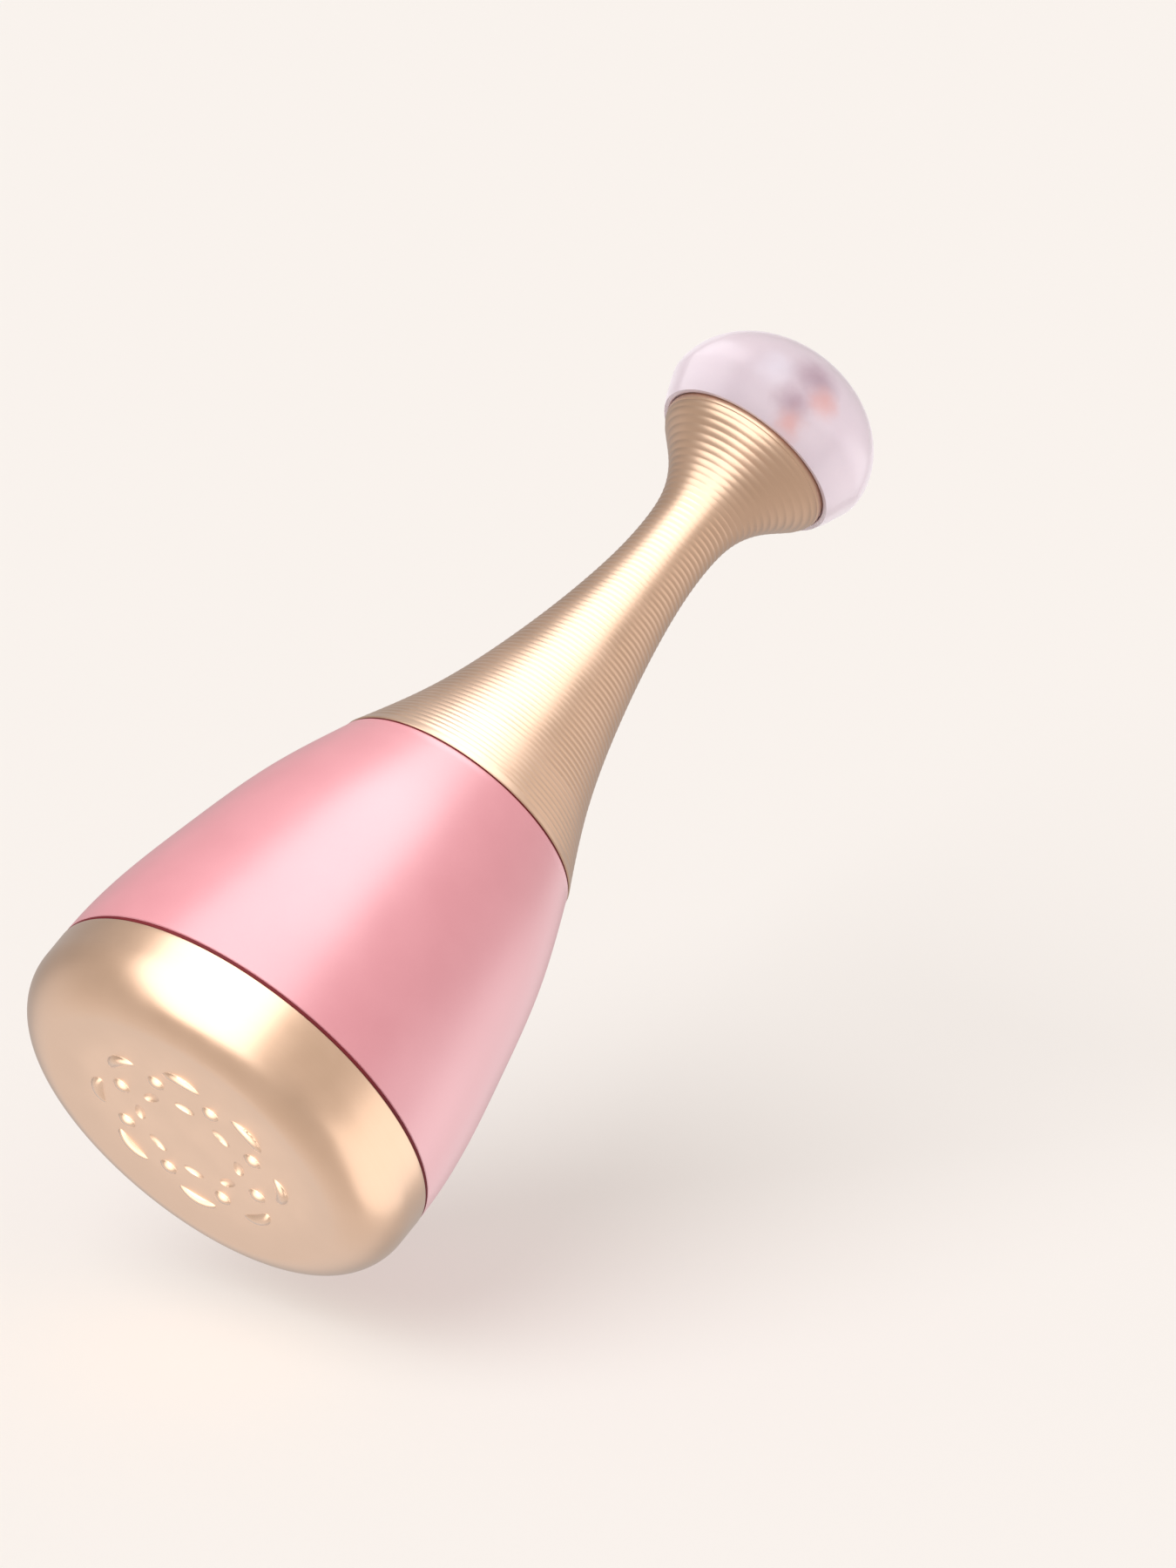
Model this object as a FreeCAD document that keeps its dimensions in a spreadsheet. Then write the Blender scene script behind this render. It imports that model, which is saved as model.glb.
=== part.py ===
import FreeCAD, Part
import math
import os
import Sketcher

# Hand-held facial massager: a waterproof body of revolution that stands on its
# massage face. +Z runs along the axis from the massage face to the end knob, the
# origin is on the axis at the tips of the raised points, and the charging port
# looks along +Y. All sizes are in millimetres.

# ---------------------------------------------------------------- driving sizes

SIZES = {
    "massage head": {
        "head_radius": 26.2,
        "head_edge_round": 6.5,
        "head_wall": 1.6,
        "head_top": 10.5,
        "face_height": 0.5,
        "dome_ring_radius": 10.0,
        "dome_half_width": 1.1,
        "petal_ring_radius": 13.1,
        "petal_half_length": 2.6,
        "petal_half_width": 1.1,
        "relief_height": 0.55,
        "dimple_ring_radius": 7.0,
        "dimple_half_length": 1.4,
        "dimple_half_width": 0.75,
        "dimple_depth": 0.35,
    },
    "head carrier and seals": {
        "glue_gap": 0.1,
        "carrier_floor_top": 4.5,
        "spigot_radius": 23.9,
        "spigot_bore": 22.0,
        "spigot_top": 19.0,
        "gasket_thickness": 0.4,
        "ring_section": 0.54,
        "carrier_ring_height": 14.9,
        "heater_radius": 15.0,
        "heater_thickness": 0.3,
        "boss_radius": 2.6,
        "boss_circle": 17.5,
        "lead_hole_radius": 1.8,
        "lead_offset": 12.0,
    },
    "chassis and vibration motor": {
        "plate_bottom": 11.0,
        "plate_top": 13.0,
        "plate_radius": 21.7,
        "motor_radius": 6.0,
        "motor_top": 33.0,
        "motor_can_wall": 0.6,
        "bush_radius": 2.0,
        "shaft_radius": 0.75,
        "shaft_clearance": 0.03,
        "boot_outer": 6.95,
        "tube_inner": 7.0,
        "tube_outer": 8.2,
        "tube_top": 31.0,
        "weight_radius": 7.5,
        "weight_bottom": 5.8,
        "weight_top": 10.4,
        "screw_shank": 0.78,
        "screw_head": 1.9,
    },
    "power and electronics": {
        "cell_half_width": 10.0,
        "cell_thickness": 5.5,
        "cell_bottom": 14.5,
        "cell_top": 39.5,
        "tray_face": 9.0,
        "board_half_width": 10.0,
        "board_face": 13.8,
        "board_thickness": 1.2,
        "board_bottom": 14.0,
        "board_top": 41.0,
        "port_height": 24.0,
        "port_half_width": 4.5,
        "port_half_height": 1.65,
        "port_mouth": 21.8,
        "port_recess_floor": 23.4,
        "lead_radius": 0.45,
        "cable_radius": 1.0,
    },
    "body shell": {
        "shell_wall": 2.0,
        "shell_bottom": 10.9,
        "shell_top": 52.6,
        "shell_low_height": 19.8,
        "shell_low_radius": 25.4,
        "shell_middle_height": 29.8,
        "shell_middle_radius": 23.4,
        "shell_high_height": 41.8,
        "shell_high_radius": 20.4,
        "shell_top_radius": 16.5,
        "shell_lower_bore": 24.0,
        "shell_upper_bore": 14.7,
        "shell_step": 48.5,
        "shell_step_radius": 16.1,
    },
    "neck": {
        "neck_bottom": 52.8,
        "neck_wall": 1.2,
        "neck_base_radius": 16.4,
        "waist_height": 97.8,
        "waist_radius": 4.75,
        "lip_radius": 10.9,
        "lip_round": 0.7,
        "lip_top": 112.5,
        "ring_pitch": 0.75,
        "ring_depth": 0.16,
        "adapter_bottom": 45.5,
        "adapter_radius": 14.6,
        "adapter_thread_radius": 13.4,
        "adapter_bore": 8.0,
        "adapter_ring_height": 50.4,
        "core_tube_outer": 3.3,
        "core_tube_inner": 2.3,
    },
    "button": {
        "cup_bottom": 104.2,
        "cup_top": 112.2,
        "button_board_bottom": 107.2,
        "button_board_top": 108.0,
        "switch_top": 109.4,
        "guide_bottom": 110.7,
        "guide_top": 112.0,
        "guide_radius": 8.95,
        "stem_radius": 2.5,
        "stem_clearance": 0.05,
        "stem_bottom": 110.0,
        "spring_top": 116.0,
        "spring_radius": 4.4,
        "spring_wire": 0.3,
    },
    "knob": {
        "knob_radius": 13.3,
        "knob_middle": 116.3,
        "knob_top": 126.7,
        "knob_skirt_bottom": 111.7,
        "knob_recess_radius": 11.25,
        "knob_recess_top": 113.3,
        "knob_wall": 2.3,
    },
}

ZERO_TOLERANCE = 1e-9
RELIEF_COUNT = 8
BOSS_ANGLES = (30, 150, 270)
BOARD_SCREW_HEIGHTS = (18.0, 37.0)
BOARD_SCREW_SIDES = (-7.5, 7.5)
BEND_SHARE = 0.45
SPRING_TURNS = 3.5
ARCS_PER_TURN = 16
END_PLAY = 0.02


class Length:
    """A number together with the sheet formula that gives it."""

    def __init__(self, value, formula):
        self.value = float(value)
        self.formula = formula

    def joined(self, sign, other, value):
        return Length(value, "(%s %s %s)" % (self.formula, sign, as_length(other).formula))

    def __add__(self, other):
        return self.joined("+", other, self.value + as_length(other).value)

    def __sub__(self, other):
        return self.joined("-", other, self.value - as_length(other).value)

    def __mul__(self, other):
        return self.joined("*", other, self.value * as_length(other).value)

    def __neg__(self):
        return Length(-self.value, "(-1 * %s)" % self.formula)

    def __float__(self):
        return self.value


def as_length(size):
    """The size itself, or a plain number as a Length."""
    if isinstance(size, Length):
        return size
    return Length(size, "%.6g" % size)


doc = FreeCAD.newDocument("facial_massager")


def make_sheet():
    """Write every driving size to the sheet and return them by name."""
    sheet = doc.addObject("Spreadsheet::Sheet", "Sizes")
    found = {}
    row = 1
    for group, cells in SIZES.items():
        sheet.set("A%d" % row, group)
        row += 1
        for name, value in cells.items():
            sheet.set("A%d" % row, name.replace("_", " "))
            sheet.set("B%d" % row, "%.6g" % value)
            sheet.setAlias("B%d" % row, name)
            found[name] = Length(value, "Sizes.%s" % name)
            row += 1
    doc.recompute()
    return found


size = make_sheet()


# ------------------------------------------------------------- drawing helpers

class Arc:
    """A round stretch of an outline. Side 1 turns left on the way, -1 turns right."""

    def __init__(self, radius, side):
        self.radius = as_length(radius)
        self.side = side


class Spline:
    """A smooth stretch of an outline through the points, with end directions."""

    def __init__(self, points, start=None, end=None):
        self.points = points
        self.start = start
        self.end = end


def flat_point(corner):
    return FreeCAD.Vector(float(corner[0]), float(corner[1]), 0)


def smooth_curve(points, start, end):
    """The curve through the points, with a direction at either end if it is given."""
    directions = [FreeCAD.Vector(1, 0, 0)] * len(points)
    flags = [False] * len(points)
    for index, direction in ((0, start), (-1, end)):
        if direction:
            directions[index] = FreeCAD.Vector(*direction)
            flags[index] = True
    curve = Part.BSplineCurve()
    curve.interpolate(Points=points, Tangents=directions, TangentFlags=flags)
    return curve


def arc_geometry(first, last, arc):
    """The arc of a circle from first to last, less than half a turn."""
    chord = last - first
    reach = math.sqrt(arc.radius.value ** 2 - (chord.Length / 2) ** 2)
    left = FreeCAD.Vector(-chord.y, chord.x, 0).normalize()
    centre = (first + last) * 0.5 + left * (reach * arc.side)
    begin = math.atan2(first.y - centre.y, first.x - centre.x)
    finish = math.atan2(last.y - centre.y, last.x - centre.x)
    if arc.side < 0:
        begin, finish = finish, begin
    circle = Part.Circle(centre, FreeCAD.Vector(0, 0, 1), arc.radius.value)
    return Part.ArcOfCircle(circle, begin, finish)


def bind_coordinate(sketch, kind, axis, geometry, vertex, length, name):
    """Hold one coordinate of a corner at a size from the sheet."""
    if abs(length.value) < ZERO_TOLERANCE:
        sketch.addConstraint(Sketcher.Constraint("PointOnObject", geometry, vertex, axis))
        return
    rule = Sketcher.Constraint(kind, -1, 1, geometry, vertex, length.value)
    index = sketch.addConstraint(rule)
    sketch.renameConstraint(index, name)
    sketch.setExpression("Constraints.%s" % name, length.formula)


def draw_outline(sketch, outline):
    """Draw a closed outline of corners, with an Arc or Spline where a run is not straight."""
    corners = [step for step in outline if isinstance(step, tuple)]
    runs = []
    for step in outline:
        if isinstance(step, tuple):
            runs.append(None)
        else:
            runs[-1] = step
    ends = []
    for index, run in enumerate(runs):
        first = flat_point(corners[index])
        last = flat_point(corners[(index + 1) % len(corners)])
        if isinstance(run, Arc):
            number = sketch.addGeometry(arc_geometry(first, last, run))
            rule = Sketcher.Constraint("Radius", number, run.radius.value)
            name = "round%d" % index
            sketch.renameConstraint(sketch.addConstraint(rule), name)
            sketch.setExpression("Constraints.%s" % name, run.radius.formula)
            ends.append((number, 1, 2) if run.side > 0 else (number, 2, 1))
        elif isinstance(run, Spline):
            middle = [flat_point(point) for point in run.points]
            curve = smooth_curve([first] + middle + [last], run.start, run.end)
            ends.append((sketch.addGeometry(curve), 1, 2))
        else:
            ends.append((sketch.addGeometry(Part.LineSegment(first, last)), 1, 2))
    for index, (number, start, finish) in enumerate(ends):
        following = ends[(index + 1) % len(ends)]
        rule = Sketcher.Constraint("Coincident", number, finish, following[0], following[1])
        sketch.addConstraint(rule)
        across, along = (as_length(part) for part in corners[index])
        bind_coordinate(sketch, "DistanceX", -2, number, start, across, "across%d" % index)
        bind_coordinate(sketch, "DistanceY", -1, number, start, along, "along%d" % index)


def new_sketch(body, name, role):
    """A sketch on one of the body's own origin planes."""
    sketch = body.newObject("Sketcher::SketchObject", name)
    plane = [part for part in body.Origin.OriginFeatures if part.Role == role][0]
    sketch.AttachmentSupport = [(plane, "")]
    sketch.MapMode = "FlatFace"
    return sketch


def turned(label, outline):
    """A body turned about +Z from an outline of (radius, height) corners."""
    body = doc.addObject("PartDesign::Body", label)
    body.Label = label
    sketch = new_sketch(body, label + "_outline", "XZ_Plane")
    draw_outline(sketch, outline)
    turn = body.newObject("PartDesign::Revolution", label + "_turn")
    turn.Profile = sketch
    turn.ReferenceAxis = (sketch, ["V_Axis"])
    turn.Angle = 360.0
    sketch.Visibility = False
    return body


def ring_outline(inner, outer, bottom, top):
    return [(inner, bottom), (outer, bottom), (outer, top), (inner, top)]


def bind_place(thing, x, y, z):
    """Put a primitive at a point whose coordinates come from the sheet."""
    for axis, length in zip("xyz", (x, y, z)):
        length = as_length(length)
        thing.setExpression("Placement.Base.%s" % axis, length.formula)


def block(label, x_span, y_span, z_span):
    """A box between the given limits."""
    box = doc.addObject("Part::Box", label)
    box.Label = label
    spans = [(as_length(low), as_length(high)) for low, high in (x_span, y_span, z_span)]
    for side, (low, high) in zip(("Length", "Width", "Height"), spans):
        box.setExpression(side, (high - low).formula)
    bind_place(box, *(low for low, _ in spans))
    return box


def post(label, radius, bottom, top, x=0.0, y=0.0):
    """An upright cylinder."""
    cylinder = doc.addObject("Part::Cylinder", label)
    cylinder.Label = label
    cylinder.setExpression("Radius", as_length(radius).formula)
    cylinder.setExpression("Height", (as_length(top) - bottom).formula)
    bind_place(cylinder, x, y, bottom)
    return cylinder


def peg(label, radius, start, end, x, z):
    """A cylinder along +Y from start to end."""
    cylinder = doc.addObject("Part::Cylinder", label)
    cylinder.Label = label
    cylinder.setExpression("Radius", as_length(radius).formula)
    cylinder.setExpression("Height", (as_length(end) - start).formula)
    cylinder.Placement.Rotation = FreeCAD.Rotation(FreeCAD.Vector(1, 0, 0), -90)
    bind_place(cylinder, x, start, z)
    return cylinder


def fused(label, pieces):
    """Several pieces as one solid, or as one group where they stay apart."""
    fuse = doc.addObject("Part::MultiFuse", label)
    fuse.Label = label
    fuse.Shapes = pieces
    return fuse


def cut(label, base, tools):
    """The base with the tools taken away."""
    tool = tools[0] if len(tools) == 1 else fused(label + "_tools", tools)
    result = doc.addObject("Part::Cut", label)
    result.Label = label
    result.Base = base
    result.Tool = tool
    return result


def shared(label, base, tool):
    """What two shapes have in common."""
    result = doc.addObject("Part::Common", label)
    result.Label = label
    result.Base = base
    result.Tool = tool
    return result


def o_ring(label, middle_radius, section, height):
    """A rubber ring of round section."""
    torus = doc.addObject("Part::Torus", label)
    torus.Label = label
    torus.setExpression("Radius1", as_length(middle_radius).formula)
    torus.setExpression("Radius2", as_length(section).formula)
    bind_place(torus, 0.0, 0.0, height)
    return torus


def slot_bar(label, half_width, half_height, height, start, end):
    """A bar along +Y whose section is a slot: flat above and below, round at both sides."""
    half_flat = as_length(half_width) - half_height
    bar = block(label + "_bar", (-half_flat, half_flat),
                (start, end), (as_length(height) - half_height, as_length(height) + half_height))
    rounds = [peg("%s_round%d" % (label, index), half_height, start, end, x, height)
              for index, x in enumerate((-half_flat, half_flat))]
    return fused(label, [bar] + rounds)


def around(angle, radius):
    """The point at an angle in degrees on a circle about the axis."""
    turn = math.radians(angle)
    return as_length(radius) * math.cos(turn), as_length(radius) * math.sin(turn)


def soft_wire(points, radius):
    """A round lead along straight runs joined by arcs as wide as the runs allow."""
    corners = [FreeCAD.Vector(*point) for point in points]
    edges = []
    begin = corners[0]
    for before, corner, after in zip(corners, corners[1:], corners[2:]):
        inward = corner - before
        outward = after - corner
        shorter = min(inward.Length, outward.Length)
        trim = BEND_SHARE * shorter
        half_turn = inward.getAngle(outward) / 2
        inward.normalize()
        outward.normalize()
        entry = corner - inward * trim
        leave = corner + outward * trim
        middle_pull = trim * (1 / math.cos(half_turn) - 1) / math.tan(half_turn)
        toward_centre = (outward - inward).normalize()
        crown = corner + toward_centre * middle_pull
        edges.append(Part.LineSegment(begin, entry).toShape())
        edges.append(Part.Arc(entry, crown, leave).toShape())
        begin = leave
    edges.append(Part.LineSegment(begin, corners[-1]).toShape())
    path = Part.Wire(edges)
    heading = corners[1] - corners[0]
    section = Part.Wire(Part.makeCircle(radius, corners[0], heading))
    return path.makePipeShell([section], True, False)


def lead_group(label, routes, radius):
    """A group of leads that each follow their own route."""
    group = doc.addObject("Part::Feature", label)
    group.Label = label
    group.Shape = Part.Compound([soft_wire(points, float(radius)) for points in routes])
    return group


# ---------------------------------------------------------------- massage head

def relief_points(label, half_length, half_width, height, ring_radius, first_angle):
    """A ring of shallow oval forms on the massage face, each set across the radius."""
    points = []
    for index in range(RELIEF_COUNT):
        angle = first_angle + index * 360.0 / RELIEF_COUNT
        oval = doc.addObject("Part::Ellipsoid", "%s%d" % (label, index))
        oval.setExpression("Radius1", height.formula)
        oval.setExpression("Radius2", half_width.formula)
        oval.setExpression("Radius3", half_length.formula)
        oval.Angle1 = -90.0
        oval.Angle2 = 90.0
        oval.Angle3 = 360.0
        oval.Placement.Rotation = FreeCAD.Rotation(FreeCAD.Vector(0, 0, 1), angle)
        bind_place(oval, *around(angle, ring_radius), size["face_height"])
        points.append(oval)
    return points


def make_massage_head():
    """The drawn metal cap, with raised domes and petals and pressed dimples."""
    edge = size["head_radius"]
    wall = size["head_wall"]
    face = size["face_height"]
    flat = edge - size["head_edge_round"]
    bend = face + size["head_edge_round"]
    cap = turned("head_cap", [
        (0, face), (flat, face), Arc(size["head_edge_round"], 1), (edge, bend),
        (edge, size["head_top"]), (edge - wall, size["head_top"]), (edge - wall, bend),
        Arc(size["head_edge_round"] - wall, -1), (flat, face + wall), (0, face + wall)])
    half_step = 180.0 / RELIEF_COUNT
    height = size["relief_height"]
    domes = relief_points("dome", size["dome_half_width"], size["dome_half_width"], height,
                          size["dome_ring_radius"], 0.0)
    petals = relief_points("petal", size["petal_half_length"], size["petal_half_width"],
                           height, size["petal_ring_radius"], half_step)
    dimples = relief_points("dimple", size["dimple_half_length"], size["dimple_half_width"],
                            size["dimple_depth"], size["dimple_ring_radius"], half_step)
    raised = fused("head_raised", [cap] + domes + petals)
    below_tips = post("below_tips", size["head_radius"], -2.0, 0.0)
    cut("massage_head", raised, dimples + [below_tips])


def make_head_seals():
    turned("head_gasket", ring_outline(
        size["spigot_radius"] + 0.05, size["head_radius"] - 0.05,
        size["head_top"], size["head_top"] + size["gasket_thickness"]))
    o_ring("carrier_o_ring", size["spigot_radius"] - size["ring_section"] + 0.07,
           size["ring_section"], size["carrier_ring_height"])


def make_head_carrier():
    """The moulded cup that closes the shell and holds the metal head."""
    outer = size["head_radius"] - size["head_wall"] - size["glue_gap"]
    bend_radius = size["head_edge_round"] - size["head_wall"] - size["glue_gap"]
    base = size["face_height"] + size["head_wall"] + size["glue_gap"]
    heater_seat = size["heater_radius"] + 0.3
    spigot = size["spigot_radius"]
    ring = size["carrier_ring_height"]
    groove = spigot - size["ring_section"] * 2 + 0.05
    floor_top = size["carrier_floor_top"]
    cup = turned("carrier_cup", [
        (0, base + 0.3), (heater_seat, base + 0.3), (heater_seat, base),
        (outer - bend_radius, base), Arc(bend_radius, 1), (outer, base + bend_radius),
        (outer, size["head_top"]), (spigot, size["head_top"]),
        (spigot, ring - 0.8), (groove, ring - 0.8), (groove, ring + 0.8), (spigot, ring + 0.8),
        (spigot, size["spigot_top"]), (size["spigot_bore"], size["spigot_top"]),
        (size["spigot_bore"], floor_top), (0, floor_top)])
    bosses = []
    holes = []
    for index, angle in enumerate(BOSS_ANGLES):
        x, y = around(angle, size["boss_circle"])
        bosses.append(post("carrier_boss%d" % index, size["boss_radius"],
                           floor_top - 0.5, size["plate_bottom"], x, y))
        holes.append(post("carrier_screw_hole%d" % index, size["screw_shank"] + 0.02,
                          6.0, size["plate_bottom"] + 1.0, x, y))
    for side in (-1, 1):
        holes.append(post("carrier_lead_hole%d" % side, size["lead_hole_radius"],
                          0.0, floor_top + 1.0, size["lead_offset"] * side))
    cut("head_carrier", fused("carrier_with_bosses", [cup] + bosses), holes)


def make_heater():
    base = size["face_height"] + size["head_wall"]
    post("heater_film", size["heater_radius"], base, base + size["heater_thickness"])
    film_top = base + size["heater_thickness"]
    bead_x = -size["lead_offset"]
    bead = post("thermistor_bead", 0.9, film_top, film_top + 1.5, bead_x)
    legs = [post("thermistor_leg%d" % index, 0.2, film_top + 1.2, 8.0, bead_x, y)
            for index, y in enumerate((-0.5, 0.5))]
    fused("thermistor", [bead] + legs)


# ------------------------------------------------------ chassis and motor drive

def make_chassis():
    """The moulded frame: base plate, motor tube, battery tray and board ribs."""
    bottom = size["plate_bottom"]
    top = size["plate_top"]
    plate = post("chassis_plate", size["plate_radius"], bottom, top)
    tube = turned("chassis_tube", ring_outline(size["tube_inner"], size["tube_outer"],
                                               top - 0.5, size["tube_top"]))
    tray = block("chassis_tray", (-size["cell_half_width"], size["cell_half_width"]),
                 (-size["tray_face"], -size["tube_outer"] + 0.6), (top - 0.5, size["cell_top"]))
    ribs = [block("chassis_rib%d" % index, span, (4.6, size["board_face"]), (top - 0.5, 40.0))
            for index, span in enumerate(((-9.4, -5.6), (5.6, 9.4)))]
    holes = [post("chassis_boss_hole", size["bush_radius"] + 0.4, bottom - 1, top + 1)]
    for index, angle in enumerate(BOSS_ANGLES):
        x, y = around(angle, size["boss_circle"])
        holes.append(post("chassis_screw_hole%d" % index, 1.15, bottom - 1, top + 1, x, y))
    for side in (-1, 1):
        holes.append(post("chassis_lead_hole%d" % side, size["lead_hole_radius"],
                          bottom - 1, top + 1, size["lead_offset"] * side))
    for side in BOARD_SCREW_SIDES:
        for height in BOARD_SCREW_HEIGHTS:
            holes.append(peg("rib_hole%d_%d" % (side, height), size["screw_shank"] + 0.02,
                             8.0, size["board_face"] + 1, side, height))
    cut("chassis", fused("chassis_blank", [plate, tube, tray] + ribs), holes)


def make_chassis_screws():
    """Three screws that hold the chassis to the head carrier."""
    screws = []
    for index, angle in enumerate(BOSS_ANGLES):
        x, y = around(angle, size["boss_circle"])
        top = size["plate_top"]
        shank = post("chassis_screw_shank%d" % index, size["screw_shank"], 6.5, top + 0.4, x, y)
        head = post("chassis_screw_head%d" % index, size["screw_head"], top, top + 1.2, x, y)
        drive = post("chassis_screw_drive%d" % index, 0.8, top + 0.6, top + 2, x, y)
        screws.append(cut("chassis_screw%d" % index,
                          fused("chassis_screw_blank%d" % index, [shank, head]), [drive]))
    fused("chassis_screws", screws)


def make_motor():
    """The vibration motor: can, magnets, armature, bearings and eccentric weight."""
    front = size["plate_top"]
    outer = size["motor_radius"]
    inner = outer - size["motor_can_wall"]
    top = size["motor_top"]
    wall = size["motor_can_wall"]
    bore = size["shaft_radius"] + size["shaft_clearance"]
    turned("motor_can", [
        (size["bush_radius"], front), (outer, front), (outer, top), (inner, top),
        (inner, front + wall), (size["bush_radius"], front + wall)])
    turned("motor_bush", ring_outline(bore, size["bush_radius"], front - 0.8, front + 2.0))
    turned("motor_end_cap", [
        (bore, top - 1.5), (inner - 0.05, top - 1.5), (inner - 0.05, top), (outer - 0.1, top),
        (outer - 0.1, top + 1.5), (0, top + 1.5), (0, top + 0.8), (bore, top + 0.8)])
    ring = turned("magnet_ring", ring_outline(inner - 0.85, inner - 0.05,
                                              front + 2.5, front + 15.5))
    gap = block("magnet_gap", (-1.5, 1.5), (-outer, outer), (front + 2, front + 16))
    cut("motor_magnets", ring, [gap])
    core = turned("armature_core", [
        (size["shaft_radius"], front + 2.6), (4.2, front + 2.6), (4.2, front + 15.4),
        (1.7, front + 15.4), (1.7, front + 18.0), (size["shaft_radius"], front + 18.0)])
    slots = []
    for index in range(3):
        slot = block("armature_slot%d" % index, (1.6, 5.0), (-0.5, 0.5), (front + 2, front + 15.6))
        slots.append(slot)
        turn = FreeCAD.Rotation(FreeCAD.Vector(0, 0, 1), index * 120.0)
        corner = turn.multVec(FreeCAD.Vector(1.6, -0.5, 0))
        slot.Placement.Rotation = turn
        bind_place(slot, corner.x, corner.y, front + 2)
    cut("motor_armature", core, slots)
    post("motor_shaft", size["shaft_radius"], size["weight_bottom"] - 0.4, top + 0.5)
    turned("motor_boot", ring_outline(outer + 0.05, size["boot_outer"], front + 2, 30.5))


def make_eccentric_weight():
    """A half disc of heavy metal, pressed on the motor shaft."""
    bottom = size["weight_bottom"]
    top = size["weight_top"]
    disc = post("weight_disc", size["weight_radius"], bottom, top)
    half = block("weight_half", (-10.0, 10.0), (-10.0, 0.0), (bottom - 1, top + 1))
    hub = post("weight_hub", 2.2, bottom, top)
    blank = fused("weight_blank", [shared("weight_wing", disc, half), hub])
    cut("eccentric_weight", blank, [post("weight_bore", size["shaft_radius"],
                                         bottom - 1, top + 1)])


# -------------------------------------------------------- power and electronics

def rounded_block(label, spans, radius):
    """A box with its upright edges rounded."""
    box = block(label + "_block", *spans)
    doc.recompute()
    upright = []
    for index, edge in enumerate(box.Shape.Edges):
        low, high = (vertex.Point for vertex in edge.Vertexes)
        if abs(low.x - high.x) + abs(low.y - high.y) < ZERO_TOLERANCE:
            upright.append((index + 1, radius, radius))
    result = doc.addObject("Part::Fillet", label)
    result.Label = label
    result.Base = box
    result.Edges = upright
    return result


def make_battery():
    half = size["cell_half_width"]
    near = -size["tray_face"] - 0.4
    rounded_block("battery_cell", ((-half, half), (near - size["cell_thickness"], near),
                                   (size["cell_bottom"], size["cell_top"])), 1.6)
    block("battery_pad", (-8.0, 8.0), (near + 0.05, near + 0.35), (17.0, 37.0))
    socket_face = size["board_face"]
    housing = block("connector_housing", (-3.5, 3.5), (socket_face - 4.2, socket_face),
                    (35.0, 39.5))
    pockets = [post("connector_pocket%d" % index, 0.7, 37.5, 41.0, x, socket_face - 2.1)
               for index, x in enumerate((-2.0, 2.0))]
    cut("battery_connector", housing, pockets)
    routes = []
    for x in (-2.0, 2.0):
        routes.append([(x, -12.0, 39.5), (x, -12.0, 43.2), (x, 11.7, 43.2), (x, 11.7, 38.0)])
    lead_group("battery_leads", routes, size["lead_radius"])


def make_main_board():
    face = size["board_face"]
    back = face + size["board_thickness"]
    half = size["board_half_width"]
    blank = block("main_board_blank", (-half, half), (face, back),
                  (size["board_bottom"], size["board_top"]))
    holes = []
    shanks = []
    for side in BOARD_SCREW_SIDES:
        for height in BOARD_SCREW_HEIGHTS:
            place = "%d_%d" % (side, height)
            holes.append(peg("board_hole" + place, 0.9, face - 1, back + 1, side, height))
            shank = peg("board_shank" + place, size["screw_shank"], 9.0, back + 0.3, side, height)
            head = peg("board_head" + place, 1.5, back, back + 0.9, side, height)
            shanks.append(fused("board_screw" + place, [shank, head]))
    cut("main_board", blank, holes)
    fused("board_screws", shanks)
    inner_side = [("controller", 5.0, 0.9, 5.0, 0.0, 24.5), ("charger", 3.0, 0.9, 3.0, -2.0, 18.5),
                  ("regulator", 2.0, 1.0, 3.0, 2.5, 18.5)]
    outer_side = [("coil", 4.0, 1.6, 4.0, -5.0, 32.0), ("reservoir", 3.2, 1.6, 1.8, 3.0, 31.0),
                  ("driver", 3.0, 0.9, 3.0, 4.0, 35.0), ("resistor", 1.6, 0.5, 0.8, -1.0, 29.0)]
    chips = []
    for name, wide, thick, tall, x, z in inner_side:
        chips.append(block(name, (x - wide / 2, x + wide / 2), (face - thick, face),
                           (z - tall / 2, z + tall / 2)))
    for name, wide, thick, tall, x, z in outer_side:
        chips.append(block(name, (x - wide / 2, x + wide / 2), (back, back + thick),
                           (z - tall / 2, z + tall / 2)))
    fused("board_components", chips)


def make_charging_socket():
    """The metal receptacle on the back of the board, with its contact tongue."""
    start = size["board_face"] + size["board_thickness"]
    mouth = size["port_mouth"]
    wide = size["port_half_width"]
    tall = size["port_half_height"]
    height = size["port_height"]
    case = slot_bar("socket_case", wide, tall, height, start, mouth)
    hollow = slot_bar("socket_hollow", wide - 0.35, tall - 0.35, height, start + 0.8, mouth + 1)
    shell = cut("socket_shell", case, [hollow])
    tongue = block("socket_tongue", (-3.3, 3.3), (start + 0.5, mouth - 1.0),
                   (height - 0.35, height + 0.35))
    fused("charging_socket", [shell, tongue])


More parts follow.
